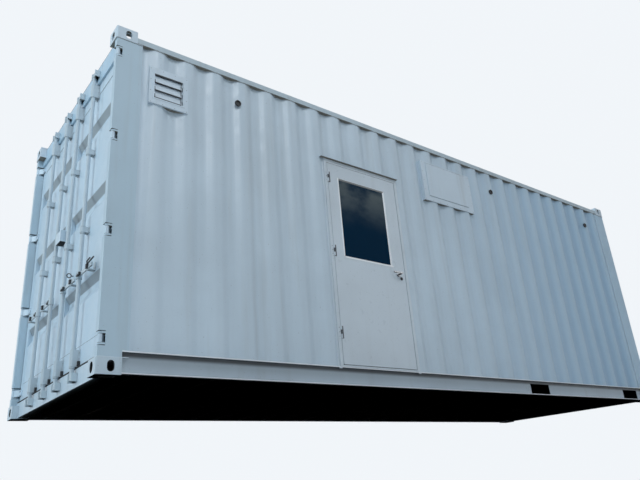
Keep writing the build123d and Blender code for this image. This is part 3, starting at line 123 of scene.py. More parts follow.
class Surface:
    """A material being built, with short calls for its nodes."""

    def __init__(self, name, rough=0.5, metal=0.0):
        self.material = bpy.data.materials.new(name)
        self.material.use_nodes = True
        self.tree = self.material.node_tree
        self.shader = self.tree.nodes["Principled BSDF"]
        self.shader.inputs["Roughness"].default_value = rough
        self.shader.inputs["Metallic"].default_value = metal
        self.coords = self.node("ShaderNodeTexCoord")
        self.last_bump = None

    def node(self, kind, inputs=None, **settings):
        """A node with its settings, its values and what is linked into it."""
        made = self.tree.nodes.new(kind)
        for key, value in settings.items():
            setattr(made, key, value)
        for socket, value in (inputs or {}).items():
            if isinstance(value, bpy.types.NodeSocket):
                self.tree.links.new(value, made.inputs[socket])
            else:
                made.inputs[socket].default_value = value
        return made

    def noise(self, scale, detail=2.0, stretch=(1.0, 1.0, 1.0), rough=0.5):
        place = self.node("ShaderNodeMapping", {"Vector": self.coords.outputs["Object"], "Scale": stretch})
        values = {"Vector": place.outputs[0], "Scale": scale, "Detail": detail, "Roughness": rough}
        return self.node("ShaderNodeTexNoise", values).outputs[0]

    def band(self, value, low, high, start=0.0, stop=1.0):
        """Ease from start to stop as a value goes from low to high."""
        limits = {0: value, 1: low, 2: high, 3: start, 4: stop}
        return self.node("ShaderNodeMapRange", limits, interpolation_type="SMOOTHSTEP").outputs[0]

    def math(self, operation, a, b=0.0):
        return self.node("ShaderNodeMath", {0: a, 1: b}, operation=operation).outputs[0]

    def mix(self, factor, a, b):
        return self.node("ShaderNodeMix", {0: factor, 6: a, 7: b}, data_type="RGBA").outputs[2]

    def place(self):
        """The place on the object, in metres."""
        return self.node("ShaderNodeSeparateXYZ", {0: self.coords.outputs["Object"]}).outputs

    def height(self):
        """Object height, in metres."""
        return self.place()[2]

    def underside(self, start, stop):
        """Ease from 0 to 1 as a face turns toward the ground, between two directions."""
        facing = self.node("ShaderNodeSeparateXYZ", {0: self.coords.outputs["Normal"]}).outputs[2]
        return self.band(facing, start, stop)

    def bump(self, value, distance):
        """Relief of a depth in metres, added to the relief so far."""
        values = {"Height": value, "Distance": distance}
        if self.last_bump:
            values["Normal"] = self.last_bump
        self.last_bump = self.node("ShaderNodeBump", values).outputs[0]

    def finish(self, colour, roughness=None):
        """Link colour, roughness and relief, and hand over the material."""
        links = self.tree.links
        links.new(colour, self.shader.inputs["Base Color"])
        if roughness:
            links.new(roughness, self.shader.inputs["Roughness"])
        if self.last_bump:
            links.new(self.last_bump, self.shader.inputs["Normal"])
        return self.material


def tint(colour, factor):
    """A colour made darker or paler by a factor."""
    return tuple(channel * factor for channel in colour) + (1.0,)


def rail_shade(s, body):
    """A bottom rail with painted shadow on its web, darkening toward its head and darkest just under it."""
    foot = s.band(s.height(), 0.015, 0.022)
    web = s.math("MULTIPLY", foot, s.band(s.height(), 0.1602, 0.1608, start=1.0, stop=0.0))
    fade = s.band(s.height(), 0.020, 0.115, start=0.18, stop=0.42)
    body = s.mix(s.math("MULTIPLY", web, fade), body, RAIL_SHADE)
    top = s.math("MULTIPLY", web, s.band(s.height(), 0.110, 0.142))
    return s.mix(s.math("MULTIPLY", top, 0.95), body, RAIL_SHADE)


def wall_shade(s, body):
    """A side wall with painted shade, bluer toward the closed end and most of all in its recesses."""
    along, depth, _ = s.place()
    to_front = s.band(along, -0.8, 3.8)
    body = s.mix(s.math("MULTIPLY", to_front, 0.85), body, FRONT_SHADE)
    distance = s.math("ABSOLUTE", depth)
    recess = s.band(distance, WALL_LEVEL - 0.030, WALL_LEVEL - 0.006, start=1.0, stop=0.0)
    return s.mix(s.math("MULTIPLY", s.math("MULTIPLY", recess, to_front), 0.50), body, RECESS_SHADE)


def casting_shade(s, body):
    """A bottom casting with painted shade, near black, on its inner faces, and plain paint on its outer
    ones.
    """
    x, y, z = s.place()
    x, y = s.math("ABSOLUTE", x), s.math("ABSOLUTE", y)

    def between(value, low, high):
        return s.math("MULTIPLY", s.math("GREATER_THAN", value, low), s.math("LESS_THAN", value, high))

    inside = s.math("MULTIPLY", between(x, *CAVITY_X), between(y, *CAVITY_Y))
    inside = s.math("MULTIPLY", inside, between(z, *CAVITY_Z))
    past = [s.math("GREATER_THAN", value, start) for value, start in zip((x, y), CORNER_FROM)]
    off_corner = s.math("SUBTRACT", 1.0, s.math("MULTIPLY", *past))
    return s.mix(s.math("MULTIPLY", inside, off_corner), body, SHADE_BLACK)


def worn_ends(s, body):
    """A locking bar whose paint is chipped to the steel near both ends."""
    from_middle = s.math("ABSOLUTE", s.math("SUBTRACT", s.height(), BAR_MIDDLE))
    ends = s.band(from_middle, 1.29, 1.36)
    chips = s.band(s.noise(45.0, 3.0), 0.60, 0.66)
    return s.mix(s.math("MULTIPLY", s.math("MULTIPLY", ends, chips), 0.8), body, STEEL_DARK)


def paint(
    name, colour, rough=0.38, streaks=0.20, specks=0.35, under=0.96, facing=UNDERSIDE, shade=None, worn=False
):
    """Gloss paint on steel sheet: mottling, rain streaks, specks, painted shade underneath and sheet ripple.
    """
    s = Surface(name, rough)
    mottle = s.band(s.noise(1.3, 4.0), 0.35, 0.65)
    body = s.mix(mottle, tint(colour, 0.95), tint(colour, 1.03))
    runs = s.band(s.noise(8.0, 3.0, (1.0, 1.0, 0.06)), 0.54, 0.76)
    body = s.mix(s.math("MULTIPLY", runs, streaks), body, RAIN_GREY)
    spots = s.band(s.noise(85.0, 2.0), 0.70, 0.75)
    body = s.mix(s.math("MULTIPLY", spots, specks), body, SPECK)
    if shade:
        body = shade(s, body)
    # Faces turned down get painted shade, near black low down and brownish higher up
    below = s.math("MULTIPLY", s.underside(*facing), under)
    under_shade = s.mix(s.band(s.height(), 0.3, 1.5), SHADE_BLACK, SHADE_BROWN)
    body = s.mix(below, body, under_shade)
    rough_out = s.band(s.noise(14.0, 3.0), 0.3, 0.7, rough - 0.07, rough + 0.09)
    rough_out = s.math("MAXIMUM", rough_out, s.math("MULTIPLY", below, 0.9))
    if worn:
        body = worn_ends(s, body)
    s.bump(s.noise(1.7, 1.0), 0.004)
    s.bump(s.noise(260.0, 2.0), 0.0004)
    return s.finish(body, rough_out)


def brushed_steel(name, colour, rough=0.24, dark_reflection_below=False):
    """Bright steel with upright grain and smears."""
    s = Surface(name, rough, 1.0)
    grain = s.noise(320.0, 2.0, (1.0, 1.0, 0.05))
    colour = s.mix(s.band(grain, 0.3, 0.7), tint(colour, 0.8), tint(colour, 1.25))
    smears = s.band(s.noise(28.0, 3.0), 0.3, 0.7, rough, rough + 0.18)
    # Faces turned down get a painted dark reflection of the ground
    if dark_reflection_below:
        colour = s.mix(s.underside(0.15, -0.35), colour, LEVER_SHADE)
    s.bump(grain, 0.0001)
    return s.finish(colour, smears)


def bitumen():
    """The black coat of the underside, with dust."""
    s = Surface("underside_finish", 0.85)
    dust = s.band(s.noise(9.0, 5.0), 0.45, 0.75)
    s.bump(s.noise(120.0, 3.0), 0.001)
    return s.finish(s.mix(dust, BITUMEN, BITUMEN_DUST))


def plywood():
    """Floor boards with grain along X, and scuffs."""
    s = Surface("plywood_finish", 0.6)
    grain = s.noise(22.0, 6.0, (0.08, 1.0, 1.0), 0.65)
    colour = s.mix(s.band(grain, 0.35, 0.65), PLY_DARK, PLY_LIGHT)
    scuffs = s.band(s.noise(5.0, 6.0), 0.52, 0.70)
    colour = s.mix(s.math("MULTIPLY", scuffs, 0.5), colour, PLY_SCUFF)
    s.bump(grain, 0.0008)
    return s.finish(colour, s.band(grain, 0.3, 0.7, 0.5, 0.75))


def rubber(name, colour, rough=0.62):
    """Dull rubber or plastic with a bloom."""
    s = Surface(name, rough)
    bloom = s.band(s.noise(30.0, 4.0), 0.35, 0.7)
    body = s.mix(bloom, tint(colour, 0.7), tint(colour, 1.5))
    s.bump(s.noise(400.0, 2.0), 0.0003)
    return s.finish(body, s.band(s.noise(18.0, 2.0), 0.3, 0.7, rough - 0.08, rough + 0.1))


def tinted_glass():
    """Dark glass with a painted reflection of pale clouds toward its head."""
    s = Surface("glazing_finish", 0.05)
    s.shader.inputs["IOR"].default_value = 1.06
    reflection_noise = s.band(s.noise(2.6, 4.0, (1.0, 1.0, 1.6)), 0.30, 0.62)
    top = s.band(s.height(), 1.50, 2.02)
    reflection_mask = s.math("MULTIPLY", s.math("MULTIPLY", reflection_noise, top), 0.9)
    colour = s.mix(reflection_mask, GLASS_TINT, GLASS_REFLECTION)
    dust = s.band(s.noise(60.0, 3.0), 0.4, 0.8, 0.04, 0.10)
    return s.finish(colour, dust)


# Finish of each material slot
WHITE = (0.605, 0.715, 0.800)
# Bluer and paler than the walls' white, as painted light against the shade on the recessed leaf panels
DOOR_LIT_WHITE = (0.600, 0.735, 0.840)
PERSONNEL_WHITE = (0.650, 0.725, 0.785)
# Darker and bluer than the walls' white, as painted shade on the locking bars and their gear
GEAR_SHADE_WHITE = (0.53, 0.62, 0.68)
FINISHES = {
    "white_paint": paint("white_paint_finish", WHITE),
    "door_paint": paint("door_paint_finish", DOOR_LIT_WHITE, under=0.72, facing=WIDE_UNDERSIDE),
    "gear_paint": paint("gear_paint_finish", GEAR_SHADE_WHITE, rough=0.42, under=0.60, worn=True),
    "personnel_paint": paint("personnel_paint_finish", PERSONNEL_WHITE, rough=0.34, streaks=0.10, under=0.7),
    "underside_paint": bitumen(),
    "plywood": plywood(),
    "seal_rubber": rubber("seal_rubber_finish", (0.016, 0.017, 0.018)),
    "glazing": tinted_glass(),
    "bright_steel": brushed_steel("bright_steel_finish", (0.53, 0.53, 0.53)),
    "dark_plastic": rubber("dark_plastic_finish", (0.014, 0.016, 0.019), 0.5),
}

# Finish of the nodes and pieces that look different from the rest of their slot
rail_finish = paint("bottom_rail_finish", WHITE, shade=rail_shade)
cover_finish = paint("cover_finish", (0.660, 0.770, 0.860), under=0.35)
casting_finish = paint("bottom_casting_finish", (0.56, 0.67, 0.745), shade=casting_shade)
chrome = brushed_steel("lever_finish", (0.62, 0.64, 0.66), 0.20, dark_reflection_below=True)
hinge_finish = rubber("hinge_finish", (0.060, 0.070, 0.085), 0.5)
worn_black = rubber("worn_black_finish", (0.030, 0.034, 0.040), 0.55)
wall_finish = paint("side_wall_finish", WHITE, shade=wall_shade)
# Near white paint with little shade underneath, as a painted highlight on the window's sill and upright
sill_highlight_finish = paint(
    "glazing_sill_highlight_finish", (0.95, 0.97, 0.99), rough=0.3, streaks=0.0, specks=0.0, under=0.1
)
TRIM_WHITE = (0.88, 0.92, 0.95)
OWN_FINISHES = {
    "left_wall": wall_finish,
    "right_wall_behind_door": wall_finish,
    "right_wall_over_door": wall_finish,
    "right_wall_front_part": wall_finish,
    # The front posts darker and bluer than the walls' white, as painted shade like the walls' closed end
    "front_posts": paint("front_post_shade_finish", (0.43, 0.61, 0.755)),
    "fixed_hinge_screws": hinge_finish,
    "leaf_hinge_screws": hinge_finish,
    "glazing_sill": sill_highlight_finish,
    "right_bottom_rail": rail_finish,
    "left_bottom_rail": rail_finish,
    "personnel_door_trim": paint("glazing_trim_finish", TRIM_WHITE, rough=0.3, streaks=0.03, under=0.9),
    "personnel_door_hinges": hinge_finish,
    # Hinge pins near black, as painted shade in the hinge notches
    "cargo_hinge_pins": rubber("pin_shade_finish", (0.020, 0.022, 0.025), 0.5),
    "lever_handle": chrome,
    "lever_roses": chrome,
    # Top rails darker than the walls' white, as painted shade
    "top_side_rails": paint("top_rail_shade_finish", (0.50, 0.60, 0.66), rough=0.4),
    # Header bluer and darker than the walls' white, as painted shade
    "door_header": paint("header_shade_finish", (0.44, 0.62, 0.76), under=0.25),
    "rear_bottom_castings": casting_finish,
    "front_bottom_castings": casting_finish,
    "cam_keepers": paint("keeper_finish", (0.55, 0.65, 0.71), under=0.45, facing=WIDE_UNDERSIDE),
    # Rear posts darker and bluer than the walls' white, as painted shade
    "rear_posts": paint("rear_post_shade_finish", (0.50, 0.64, 0.735)),
    "louvre_vent": cover_finish,
    "hatch_cover": cover_finish,
    "lock_cylinder": worn_black,
    "vent_slot_shade_strips": worn_black,
    # Paler paint on the rails' rolled edges as a painted highlight
    "bottom_rail_edges": paint("rail_edge_highlight_finish", (0.90, 0.93, 0.96), streaks=0.05, specks=0.0, under=0.3),
}


def node_group(name):
    """An empty group for meshes, with its input and output nodes."""
    group = bpy.data.node_groups.new(name, "GeometryNodeTree")
    for side in ("INPUT", "OUTPUT"):
        group.interface.new_socket("Geometry", in_out=side, socket_type="NodeSocketGeometry")
    return group, group.nodes.new("NodeGroupInput"), group.nodes.new("NodeGroupOutput")


def edge_marker(low, high, skip):
    """Nodes that mark the edges between two angles for the bevel, but not between two distances along X."""
    group, start, end = node_group(f"mark_edges_{low}_{high}")
    nodes, links = group.nodes, group.links
    angle = nodes.new("GeometryNodeInputMeshEdgeAngle")
    tests = []
    for operation, limit in (("GREATER_THAN", low), ("LESS_THAN", high)):
        test = nodes.new("FunctionNodeCompare")
        test.data_type, test.operation = "FLOAT", operation
        test.inputs[1].default_value = math.radians(limit)
        links.new(angle.outputs[0], test.inputs[0])
        tests.append(test.outputs[0])
    both = nodes.new("FunctionNodeBooleanMath")
    links.new(tests[0], both.inputs[0])
    links.new(tests[1], both.inputs[1])
    marked = both.outputs[0]
    if skip:
        place = nodes.new("ShaderNodeSeparateXYZ")
        links.new(nodes.new("GeometryNodeInputPosition").outputs[0], place.inputs[0])
        away = nodes.new("FunctionNodeCompare")
        away.data_type, away.operation = "FLOAT", "NOT_EQUAL"
        away.inputs[1].default_value = (skip[0] + skip[1]) / 2
        away.inputs["Epsilon"].default_value = (skip[1] - skip[0]) / 2
        links.new(place.outputs[0], away.inputs[0])
        kept = nodes.new("FunctionNodeBooleanMath")
        links.new(marked, kept.inputs[0])
        links.new(away.outputs[0], kept.inputs[1])
        marked = kept.outputs[0]
    plain = nodes.new("GeometryNodeRemoveAttribute")
    plain.inputs["Name"].default_value = "custom_normal"
    store = nodes.new("GeometryNodeStoreNamedAttribute")
    store.data_type, store.domain = "FLOAT", "EDGE"
    store.inputs["Name"].default_value = "bevel_weight_edge"
    links.new(start.outputs[0], plain.inputs["Geometry"])
    links.new(plain.outputs[0], store.inputs["Geometry"])
    links.new(marked, store.inputs["Value"])
    links.new(store.outputs[0], end.inputs[0])
    return group


def smooth_shading(limit):
    """Nodes that shade smooth and keep edges over the limit sharp."""
    group, start, end = node_group(f"smooth_{limit}")
    nodes, links = group.nodes, group.links
    angle = nodes.new("GeometryNodeInputMeshEdgeAngle")
    soft = nodes.new("FunctionNodeCompare")
    soft.data_type, soft.operation = "FLOAT", "LESS_THAN"
    soft.inputs[1].default_value = math.radians(limit)
    faces = nodes.new("GeometryNodeSetShadeSmooth")
    edges = nodes.new("GeometryNodeSetShadeSmooth")
    edges.domain = "EDGE"
    links.new(angle.outputs[0], soft.inputs[0])
    links.new(start.outputs[0], faces.inputs["Geometry"])
    links.new(faces.outputs[0], edges.inputs["Geometry"])
    links.new(soft.outputs[0], edges.inputs["Shade Smooth"])
    links.new(edges.outputs[0], end.inputs[0])
    return group


MARKERS = {}
SMOOTH = smooth_shading(limit=40)
SAME_POINT = 0.00001
SAME_PLANE = 0.5


def add_nodes(obj, name, group):
    obj.modifiers.new(name, "NODES").node_group = group


def soften(obj, width, segments, low=50, high=181, clamp=True, skip=None):
    """Weld the split edges and round the ones between two angles."""
    if (low, high, skip) not in MARKERS:
        MARKERS[(low, high, skip)] = edge_marker(low, high, skip)
    obj.modifiers.new("weld", "WELD").merge_threshold = SAME_POINT
    flat = obj.modifiers.new("flat", "DECIMATE")
    flat.decimate_type = "DISSOLVE"
    flat.angle_limit = math.radians(SAME_PLANE)
    add_nodes(obj, "mark", MARKERS[(low, high, skip)])
    bevel = obj.modifiers.new("round", "BEVEL")
    bevel.limit_method = "WEIGHT"
    bevel.width = width
    bevel.segments = segments
    bevel.use_clamp_overlap = clamp
    add_nodes(obj, "smooth", SMOOTH)
    obj.modifiers.new("normals", "WEIGHTED_NORMAL").keep_sharp = True


# Width and segments of the rounding, and which edges get it, with the nodes that differ from the rest
BEND = dict(low=15, high=45, clamp=False)
USUAL_ROUNDING = (0.0025, 2, {})
ROUNDING = {
    "right_wall_behind_door": (0.020, 5, dict(BEND, skip=(-3.50, -3.45))),
    "right_wall_over_door": (0.020, 5, BEND),
    "right_wall_front_part": (0.019, 5, dict(BEND, skip=(0.47, 0.51))),
    "left_wall": (0.020, 5, BEND),
    "front_wall": (0.020, 5, BEND),
    "right_leaf_panel": (0.007, 3, BEND),
    "left_leaf_panel": (0.007, 3, BEND),
    "roof_panel": (0.006, 3, dict(low=35, high=75, clamp=False)),
    "personnel_door_leaf": (0.002, 2, {}),
    "personnel_door_frame": (0.002, 2, {}),
    "lever_handle": (0.003, 3, dict(low=35, high=181)),
    "hatch_cover": (0.002, 2, {}),
    "louvre_vent": (0.0012, 2, {}),
}

for part in frame["record"]["subparts"]:
    node = frame["nodes"][part["node"]]
    finish = OWN_FINISHES.get(part["node"], FINISHES[part["material_slot"]])
    if not node.material_slots:
        node.data.materials.append(finish)
    for material_slot in node.material_slots:
        material_slot.material = finish
    width, segments, limits = ROUNDING.get(part["node"], USUAL_ROUNDING)
    soften(node, width, segments, **limits)


def piece(name, mesh, body, slot_name):
    """Turn a finished bmesh into a piece that rides on a body."""
    bmesh.ops.recalc_face_normals(mesh, faces=mesh.faces)
    data = bpy.data.meshes.new(name)
    mesh.to_mesh(data)
    mesh.free()
    for polygon in data.polygons:
        polygon.use_smooth = True
    data.materials.append(OWN_FINISHES.get(name, FINISHES[slot_name]))
    made = bpy.data.objects.new(name, data)
    bpy.context.scene.collection.objects.link(made)
    add_nodes(made, "smooth", SMOOTH)
    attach(made, body)


def across(direction):
    """Two directions square to the given one."""
    up = Vector((0, 0, 1)) if abs(direction.z) < 0.9 else Vector((0, 1, 0))
    first = direction.cross(up).normalized()
    return first, direction.cross(first).normalized()


def full_turn(count):
    """Evenly spaced angles round a circle."""
    return [2 * math.pi * k / count for k in range(count)]


def rings(mesh, loops, closed=False):
    """Skin a list of point loops of the same length, with flat ends unless closed."""
    rows = [[mesh.verts.new(point) for point in loop] for loop in loops]
    count = len(rows[0])
    pairs = list(zip(rows, rows[1:]))
    if closed:
        pairs.append((rows[-1], rows[0]))
    for a, b in pairs:
        for i in range(count):
            j = (i + 1) % count
            mesh.faces.new((a[i], a[j], b[j], b[i]))
    if not closed:
        mesh.faces.new(list(reversed(rows[0])))
        mesh.faces.new(rows[-1])


def walk(points, step=0.05):
    """Points at even steps along a broken line, with its corners kept."""
    out = []
    for a, b in zip(points, points[1:]):
        a, b = Vector(a), Vector(b)
        count = max(1, round((b - a).length / step))
        out += [a.lerp(b, i / count) for i in range(count)]
    return out + [Vector(points[-1])]


def tube(mesh, points, radius, sides=8, ripple=0.0, closed=False):
    """A round rod along a line. Ripple gives it the scales of a weld bead."""
    points = [Vector(p) for p in points]
    loops = []
    last = len(points) - 1
    for i, point in enumerate(points):
        before = points[i - 1] if i or closed else point
        after = points[(i + 1) % len(points)] if i < last or closed else point
        first, second = across((after - before).normalized())
        r = radius * (1.0 + ripple * random.uniform(-1.0, 1.0))
        loops.append([point + first * r * math.cos(t) + second * r * math.sin(t) for t in full_turn(sides)])
    rings(mesh, loops, closed)


def weld_bead(mesh, points, radius=0.0035, step=0.014):
    tube(mesh, walk(points, step), radius, sides=6, ripple=0.22)


def block(mesh, low, high, edge=0.002):
    """A box with chamfered upright and level edges."""
    low, high = Vector(low), Vector(high)
    edge = min(edge, min(high - low) * 0.3)

    def loop(z, inset):
        x0, x1 = low.x + inset, high.x - inset
        y0, y1 = low.y + inset, high.y - inset
        c = edge
        return [
            (x0 + c, y0, z), (x1 - c, y0, z), (x1, y0 + c, z), (x1, y1 - c, z),
            (x1 - c, y1, z), (x0 + c, y1, z), (x0, y1 - c, z), (x0, y0 + c, z),
        ]

    rings(mesh, [loop(low.z, edge), loop(low.z + edge, 0.0), loop(high.z - edge, 0.0), loop(high.z, edge)])


def turned(mesh, at, direction, profile, sides=12):
    """A turned piece: profile is (distance along the direction, radius) from its foot."""
    at, direction = Vector(at), Vector(direction).normalized()
    first, second = across(direction)
    turns = full_turn(sides)
    rings(
        mesh,
        [
            [at + direction * d + first * r * math.cos(t) + second * r * math.sin(t) for t in turns]
            for d, r in profile
        ],
    )


def bolt(mesh, at, direction, radius=0.007):
    """A hexagon head on its washer."""
    washer = [(-0.001, radius * 1.4), (0.0012, radius * 1.4), (0.0015, radius * 1.3)]
    head = [(0.0015, radius), (radius * 0.75, radius), (radius * 0.9, radius * 0.8)]
    turned(mesh, at, direction, washer, 14)
    turned(mesh, at, direction, head, 6)


def rivet(mesh, at, direction, radius=0.005):
    """A low domed head."""
    dome = [(-0.001, 1.0), (0.12, 1.0), (0.42, 0.80), (0.55, 0.45), (0.60, 0.15)]
    turned(mesh, at, direction, [(d * radius if d > 0 else d, r * radius) for d, r in dome], 10)


def rim(low, high, inset, columns, rows):
    """Places (x, z) of a grid that lie along the rim of a cover."""
    width, height = high.x - low.x - 2 * inset, high.z - low.z - 2 * inset
    return [
        (low.x + inset + width * i / (columns - 1), low.z + inset + height * j / (rows - 1))
        for i in range(columns)
        for j in range(rows)
        if i in (0, columns - 1) or j in (0, rows - 1)
    ]


def wave_depth(at, first, pitch):
    """Depth of a wall's wave at a distance, 0 being its outer level."""
    d = abs((at - first + pitch / 2) % pitch - pitch / 2)
    if d <= WAVE_FLAT / 2:
        return WAVE_DEPTH
    if d >= WAVE_FLAT / 2 + WAVE_SLOPE:
        return 0.0
    return WAVE_DEPTH * (WAVE_FLAT / 2 + WAVE_SLOPE - d) / WAVE_SLOPE


def wave_corners(x0, x1, first, pitch):
    """Distances of the wave's bends between two ends."""
    marks = [x0, x1]
    half = WAVE_FLAT / 2
    spare = 30
    count = int(abs(x1 - x0) / pitch) + spare
    for i in range(-count, count + 1):
        centre = first + i * pitch
        marks += [centre - half - WAVE_SLOPE, centre - half, centre + half, centre + half + WAVE_SLOPE]
    return sorted(m for m in marks if x0 <= m <= x1)


def wall_face(x):
    """Distance of a side wall's outer face from the middle of the container."""
    return WALL_LEVEL - wave_depth(x, FIRST_RECESS, WAVE_PITCH)


def side_line(side, x0, x1, z, out=0.001):
    """The side wall's outer face at one level, as a line of points."""
    return [(x, side * (wall_face(x) + out), z) for x in wave_corners(x0, x1, FIRST_RECESS, WAVE_PITCH)]


# Weld seams of the walls, the level ones a little way onto the sheet
ONTO = 0.001
WIDE_BEAD = 0.005
FRONT_HALF = 1.159
for side, name in ((-1, "right"), (1, "left")):
    beads = bmesh.new()
    runs = [(-STRIP_END, DOOR_X[0]), (DOOR_X[1], STRIP_END)] if side < 0 else [(-STRIP_END, STRIP_END)]
    for x0, x1 in runs:
        weld_bead(beads, side_line(side, x0, x1, WALL_LOW + ONTO), WIDE_BEAD)
    weld_bead(beads, side_line(side, -STRIP_END, STRIP_END, WALL_HIGH - ONTO))
    for end in (-STRIP_END, STRIP_END):
        y = side * wall_face(end)
        weld_bead(beads, [(end, y, WALL_LOW), (end, y, WALL_HIGH)])
    piece(f"{name}_wall_welds", beads, "container", "white_paint")

beads = bmesh.new()
for z in (WALL_LOW + ONTO, POST_TOP - ONTO):
    line = [
        (FRONT_LEVEL - wave_depth(y, 0.0, FRONT_PITCH) + ONTO, y, z)
        for y in wave_corners(-FRONT_HALF, FRONT_HALF, 0.0, FRONT_PITCH)
    ]
    weld_bead(beads, line)
for y in (-FRONT_HALF + ONTO, FRONT_HALF - ONTO):
    x = FRONT_LEVEL - wave_depth(y, 0.0, FRONT_PITCH)
    weld_bead(beads, [(x, y, WALL_LOW), (x, y, POST_TOP)])
piece("front_wall_welds", beads, "container", "white_paint")

# Flanges between the corner posts and the ends of the side walls
FLANGE_HALF = 0.0025
FLANGE_GAP = 0.0005
flanges = bmesh.new()
for side in (-1, 1):
    for end in (-1, 1):
        inner = wall_face(end * STRIP_END) - 0.002
        y0, y1 = sorted((side * inner, side * (POST_SIDE - FLANGE_GAP)))
        x = end * (STRIP_END - 0.001)
        low = (x - FLANGE_HALF, y0, WALL_LOW + FLANGE_GAP)
        high = (x + FLANGE_HALF, y1, WALL_HIGH - FLANGE_GAP)
        block(flanges, low, high, edge=0.001)
piece("wall_end_flanges", flanges, "container", "white_paint")

# Rolled edges along the head and the foot of each bottom rail, as (radius, y, z), in paler paint as a
# painted highlight
RAIL_EDGES = ((0.0055, 1.2130, 0.1640), (0.0045, 1.2125, 0.0130))
edges = bmesh.new()
for side in (-1, 1):
    for radius, y, z in RAIL_EDGES:
        ends = [(-CASTING_INNER, side * y, z), (CASTING_INNER, side * y, z)]
        tube(edges, walk(ends, step=0.25), radius)
piece("bottom_rail_edges", edges, "container", "door_paint")

# Closing plates in the wall's recesses behind the edges of the hatch and the vent
RECESSES = 26
NARROWEST_PLATE = 0.03
PLATE_HALF = 0.0015
PLATE_INSET = 0.003
plates = bmesh.new()
foot, head = WAVE_FLAT / 2 + WAVE_SLOPE, WAVE_FLAT / 2
for node in ("hatch_cover", "louvre_vent"):
    low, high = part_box(node)
    for i in range(RECESSES):
        centre = FIRST_RECESS + WAVE_PITCH * i
        x0, x1 = max(low.x + 0.001, centre - foot), min(high.x - 0.001, centre + foot)
        if x1 - x0 < NARROWEST_PLATE:
            continue
        xs = sorted({x0, x1} | {x for x in (centre - head, centre + head) if x0 < x < x1})
        outline = [(x, -wall_face(x) + 0.001) for x in xs]
        outline += [(x1, -WALL_LEVEL), (x0, -WALL_LEVEL)]
        for level in (low.z + PLATE_INSET, high.z - PLATE_INSET):
            rings(plates, [[(x, y, level + t) for x, y in outline] for t in (-PLATE_HALF, PLATE_HALF)])
    if node == "hatch_cover":
        back = -wall_face(low.x) + 0.001
        plate_low = (low.x + 0.0005, -WALL_LEVEL - 0.002, low.z + 0.001)
        plate_high = (low.x + 0.0035, back, high.z - 0.001)
        block(plates, plate_low, plate_high, edge=0.0005)
piece("recess_plates", plates, "container", "white_paint")

# Weld seams where the posts and rails meet the castings, those of the rails as (y, foot, head)
RAIL_SEAMS = ((1.195, 0.014, 0.116), (POST_SIDE, 2.790, 2.844))
beads = bmesh.new()
for end in (-1, 1):
    for side in (-1, 1):
        for z in (CASTING_TOP, POST_TOP):
            outer = [
                (end * STRIP_END, side * POST_SIDE, z),
                (end * POST_END, side * POST_SIDE, z),
                (end * POST_END, side * POST_INNER, z),
            ]
            weld_bead(beads, outer, WIDE_BEAD)
        for y, z0, z1 in RAIL_SEAMS:
            weld_bead(beads, [(end * CASTING_INNER, side * y, z0), (end * CASTING_INNER, side * y, z1)])
piece("casting_welds", beads, "container", "white_paint")

# Weld seams along the edges of the roof
ROOF_EDGE = (1.194, 2.847)
beads = bmesh.new()
for side in (-1, 1):
    y, z = side * ROOF_EDGE[0], ROOF_EDGE[1]
    weld_bead(beads, [(-CASTING_INNER, y, z), (CASTING_INNER, y, z)], 0.003, 0.03)
piece("roof_welds", beads, "container", "white_paint")

# Sealant up both sides of the personnel door's frame, and the gasket in its rebate
REBATE = 0.036
SILL_REBATE = 0.016
STOP_Y = -SIDE + 0.050
sealant = bmesh.new()
for x, outward in zip(DOOR_X, (-1, 1)):
    y = -wall_face(x) - 0.001
    x += outward * 0.002
    tube(sealant, walk([(x, y, WALL_LOW), (x, y, DOOR_Z[1])]), 0.010, sides=10, ripple=0.06)
piece("door_sealant", sealant, "container", "personnel_paint")

gasket = bmesh.new()
x0, x1 = DOOR_X[0] + REBATE, DOOR_X[1] - REBATE
z0, z1 = DOOR_Z[0] + SILL_REBATE, DOOR_Z[1] - REBATE
tube(gasket, [(x0, STOP_Y, z0), (x0, STOP_Y, z1), (x1, STOP_Y, z1), (x1, STOP_Y, z0)], 0.0026, closed=True)
piece("door_gasket", gasket, "container", "seal_rubber")

# Rivets of the vent, the hatch and the head flashing
VENT_FACE = 1.224
FLASHING_FACE = 1.211
FLASHING_RIVETS = 7
FLASHING_INSET = 0.05
TO_RIGHT = (0, -1, 0)
rivets = bmesh.new()
for x, z in rim(*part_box("louvre_vent"), 0.014, 4, 4):
    rivet(rivets, (x, -VENT_FACE, z), TO_RIGHT, 0.0050)
for x, z in rim(*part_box("hatch_cover"), 0.020, 8, 5):
    rivet(rivets, (x, -SIDE, z), TO_RIGHT, 0.0055)
low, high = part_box("head_flashing")
for i in range(FLASHING_RIVETS):
    x = low.x + FLASHING_INSET + (high.x - low.x - 2 * FLASHING_INSET) * i / (FLASHING_RIVETS - 1)
    rivet(rivets, (x, -FLASHING_FACE, high.z - 0.011), TO_RIGHT, 0.0045)
piece("cover_rivets", rivets, "container", "white_paint")

# Screws of the butt hinges, the middle one of each row set aside from the other two
BUTT_X = -1.6625
BUTT_LEVELS = (0.474, 1.258, 2.038)
SCREW_ASIDE = 0.002
for body, x, y, name in (
    ("container", BUTT_X - 0.0185, -1.2215, "fixed_hinge_screws"),
    ("personnel_door", BUTT_X + 0.0190, -1.2195, "leaf_hinge_screws"),
):
    screws = bmesh.new()
    for level in BUTT_LEVELS:
        for dz in (-0.040, 0.0, 0.040):
            aside = SCREW_ASIDE if dz == 0.0 else -SCREW_ASIDE
            rivet(screws, (x + aside, y, level + dz), TO_RIGHT, 0.0036)
    piece(name, screws, body, "bright_steel")

